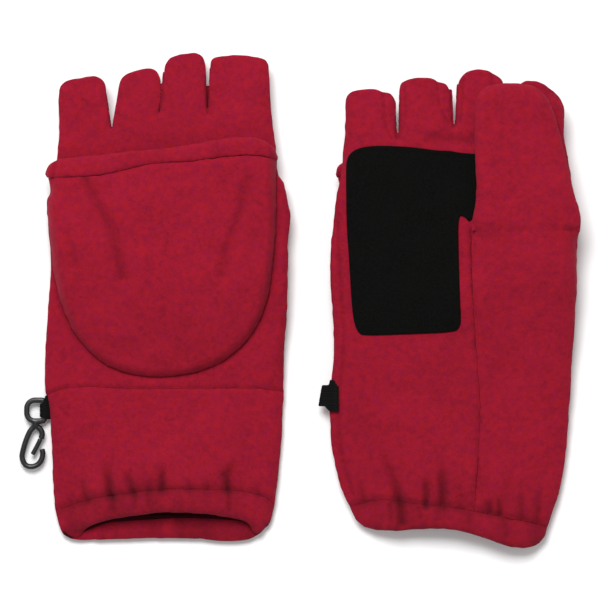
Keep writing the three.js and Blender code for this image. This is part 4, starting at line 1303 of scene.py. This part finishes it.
def build_tape(side):
    """A strip of webbing folded over at its free end, as a closed woven strip."""
    tape, mitten = TAPES[side], MITTENS[side]
    low, high = (mitten.to_work(np.array([corner]))[0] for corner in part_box(f"{side}_hang_loop"))
    level = (low[2] + high[2]) / 2
    half = tape["thick"] / 2
    turn = 1 if side == "left" else -1
    glove = GLOVES[side]

    def face(x):
        return glove.palm_face(np.array([[x, tape["y"]]]))[0] - half - TAPE_GAP

    top = [(x, face(x) if z is None else level + z) for x, z in tape["top"]]
    arc = [(tape["fold"] - tape["radius"] * math.sin(a), level + turn * tape["radius"] * math.cos(a))
           for a in np.linspace(0.1, math.pi - 0.1, 9)]
    line = np.array(top + arc + [(x, level + z) for x, z in tape["under"]])
    run = np.concatenate([[0], np.cumsum(np.linalg.norm(np.diff(line, axis=0), axis=1))])
    stations = np.linspace(0, run[-1], int(run[-1] / TAPE_STEP))
    x, z = (np.interp(stations, run, line[:, axis]) for axis in (0, 1))
    for _ in range(6):
        x[1:-1] = (x[:-2] + 2 * x[1:-1] + x[2:]) / 4
        z[1:-1] = (z[:-2] + 2 * z[1:-1] + z[2:]) / 4
    along = np.column_stack([np.gradient(x), np.gradient(z)])
    along /= np.linalg.norm(along, axis=1)[:, None]
    across = np.linspace(-1, 1, int(tape["widths"][1] / TAPE_STEP))
    near = ease(x, *tape["spread"])
    reach = (tape["widths"][0] * (1 - near) + tape["widths"][1] * near) / 2
    v, s = np.meshgrid(across, stations)
    y = tape["y"] + v * reach[:, None] + tape["rise"] * near[:, None]
    lean = tape["slant"] * (y - tape["y"]) * (1 - near[:, None])
    cords = CORD_HEIGHT * np.sin(2 * np.pi * y / CORD_PITCH)
    threads = THREAD_HEIGHT * np.sin(2 * np.pi * s / THREAD_PITCH + np.pi * np.floor(y / CORD_PITCH))
    offset = (half + cords + threads) * np.sqrt(np.clip(1 - v ** 8, 0.15, 1))
    layers = []
    for sign in (1, -1):
        layers.append(np.stack([x[:, None] + lean - sign * offset * along[:, 1:2], y,
                                z[:, None] + sign * offset * along[:, 0:1]], axis=-1).reshape(-1, 3))
    rows, columns = s.shape
    count = rows * columns
    ids = np.arange(count).reshape(rows, columns)
    quads = np.stack([ids[:-1, :-1], ids[:-1, 1:], ids[1:, 1:], ids[1:, :-1]], axis=-1).reshape(-1, 4)
    rim = np.concatenate([ids[0, :-1], ids[:-1, -1], ids[-1, :0:-1], ids[:0:-1, 0]])
    walls = np.column_stack([rim, np.roll(rim, -1), np.roll(rim, -1) + count, rim + count])
    faces = np.vstack([quads, quads[:, ::-1] + count, walls])
    mesh = bpy.data.meshes.new(f"tape_{side}")
    mesh.from_pydata(mitten.to_row(np.vstack(layers)).tolist(), [], faces.tolist())
    outward(mesh)
    piece = finish_piece(f"webbing_{side}_hang_loop", mesh, WEBBING, None, [f"{side}_hang_loop"])
    bend = mitten.to_row(np.array([[at, tape["y"], level] for at in tape["bend"]]))
    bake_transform(piece)


def close_copy(node, size, rounds, relief, label, material, body, drop=0.0):
    """A fine copy of a frame node with its own relief; its upper end comes down by the drop."""
    mesh = voxel_copy(node, size)
    set_coords(mesh, relax(coords(mesh), edges(mesh), rounds))
    co = coords(mesh) + normals(mesh) * relief(coords(mesh) / MM)[:, None] * MM
    low, high = co[:, 1].min(), co[:, 1].max()
    co[:, 1] = low + (co[:, 1] - low) * (1 - drop * MM / (high - low))
    set_coords(mesh, co)
    return finish_piece(f"{label}_{node}", mesh, material, body, [node])


for side in SIDES:
    build_mitten(side)
    for gusset in ("little_ring", "ring_middle", "middle_index"):
        # the gussets take the darker painted-shade copy of the fleece
        close_copy(f"{side}_fourchette_{gusset}", 0.5, 3, gusset_relief, "fleece", FLEECE_GUSSET_SHADED,
                   f"{side}_glove", GUSSET_DROP)
    build_tape(side)
for name, relief in (("hook", hook_relief), ("hook_tongue", tongue_relief)):
    close_copy(name, 0.2, 10, relief, "moulded", PLASTIC, name)


# ---- floor, light and camera ----

FLOOR_SIZE = 3.0
FLOOR_Z = -0.0002
VIEW_WIDTH = 0.288
CAMERA_HEIGHT = 2.2
SENSOR = 36.0

floor_mesh = bpy.data.meshes.new("floor")
corners = [(x * FLOOR_SIZE / 2, y * FLOOR_SIZE / 2, FLOOR_Z) for x, y in ((-1, -1), (1, -1), (1, 1), (-1, 1))]
floor_mesh.from_pydata(corners, [], [(0, 1, 2, 3)])
floor_material, _, floor_shader = nodes_of("pale_floor")
floor_shader.inputs["Base Color"].default_value = (0.96, 0.96, 0.96, 1)
floor_shader.inputs["Roughness"].default_value = 0.9
floor = new_object("floor", floor_mesh, floor_material)

world = bpy.data.worlds.new("studio")
bpy.context.scene.world = world
world.use_nodes = True
world.node_tree.nodes["Background"].inputs["Color"].default_value = (1, 1, 1, 1)
world.node_tree.nodes["Background"].inputs["Strength"].default_value = 0.52


def area_light(name, place, size, power):
    light = bpy.data.lights.new(name, "AREA")
    light.size = size
    light.energy = power
    lamp = bpy.data.objects.new(name, light)
    lamp.location = place
    lamp.rotation_euler = (Vector((0, 0, 0)) - Vector(place)).to_track_quat("-Z", "Y").to_euler()
    bpy.context.scene.collection.objects.link(lamp)


area_light("key", (-0.25, 0.9, 1.7), 0.8, 34)

camera_data = bpy.data.cameras.new("camera")
camera_data.sensor_width = SENSOR
camera_data.lens = SENSOR * CAMERA_HEIGHT / VIEW_WIDTH
camera_data.clip_end = 20
camera = bpy.data.objects.new("camera", camera_data)
camera.location = (0.0006, 0.0008, CAMERA_HEIGHT + 0.014)
bpy.context.scene.collection.objects.link(camera)
bpy.context.scene.camera = camera

bpy.context.scene.view_settings.view_transform = "Standard"
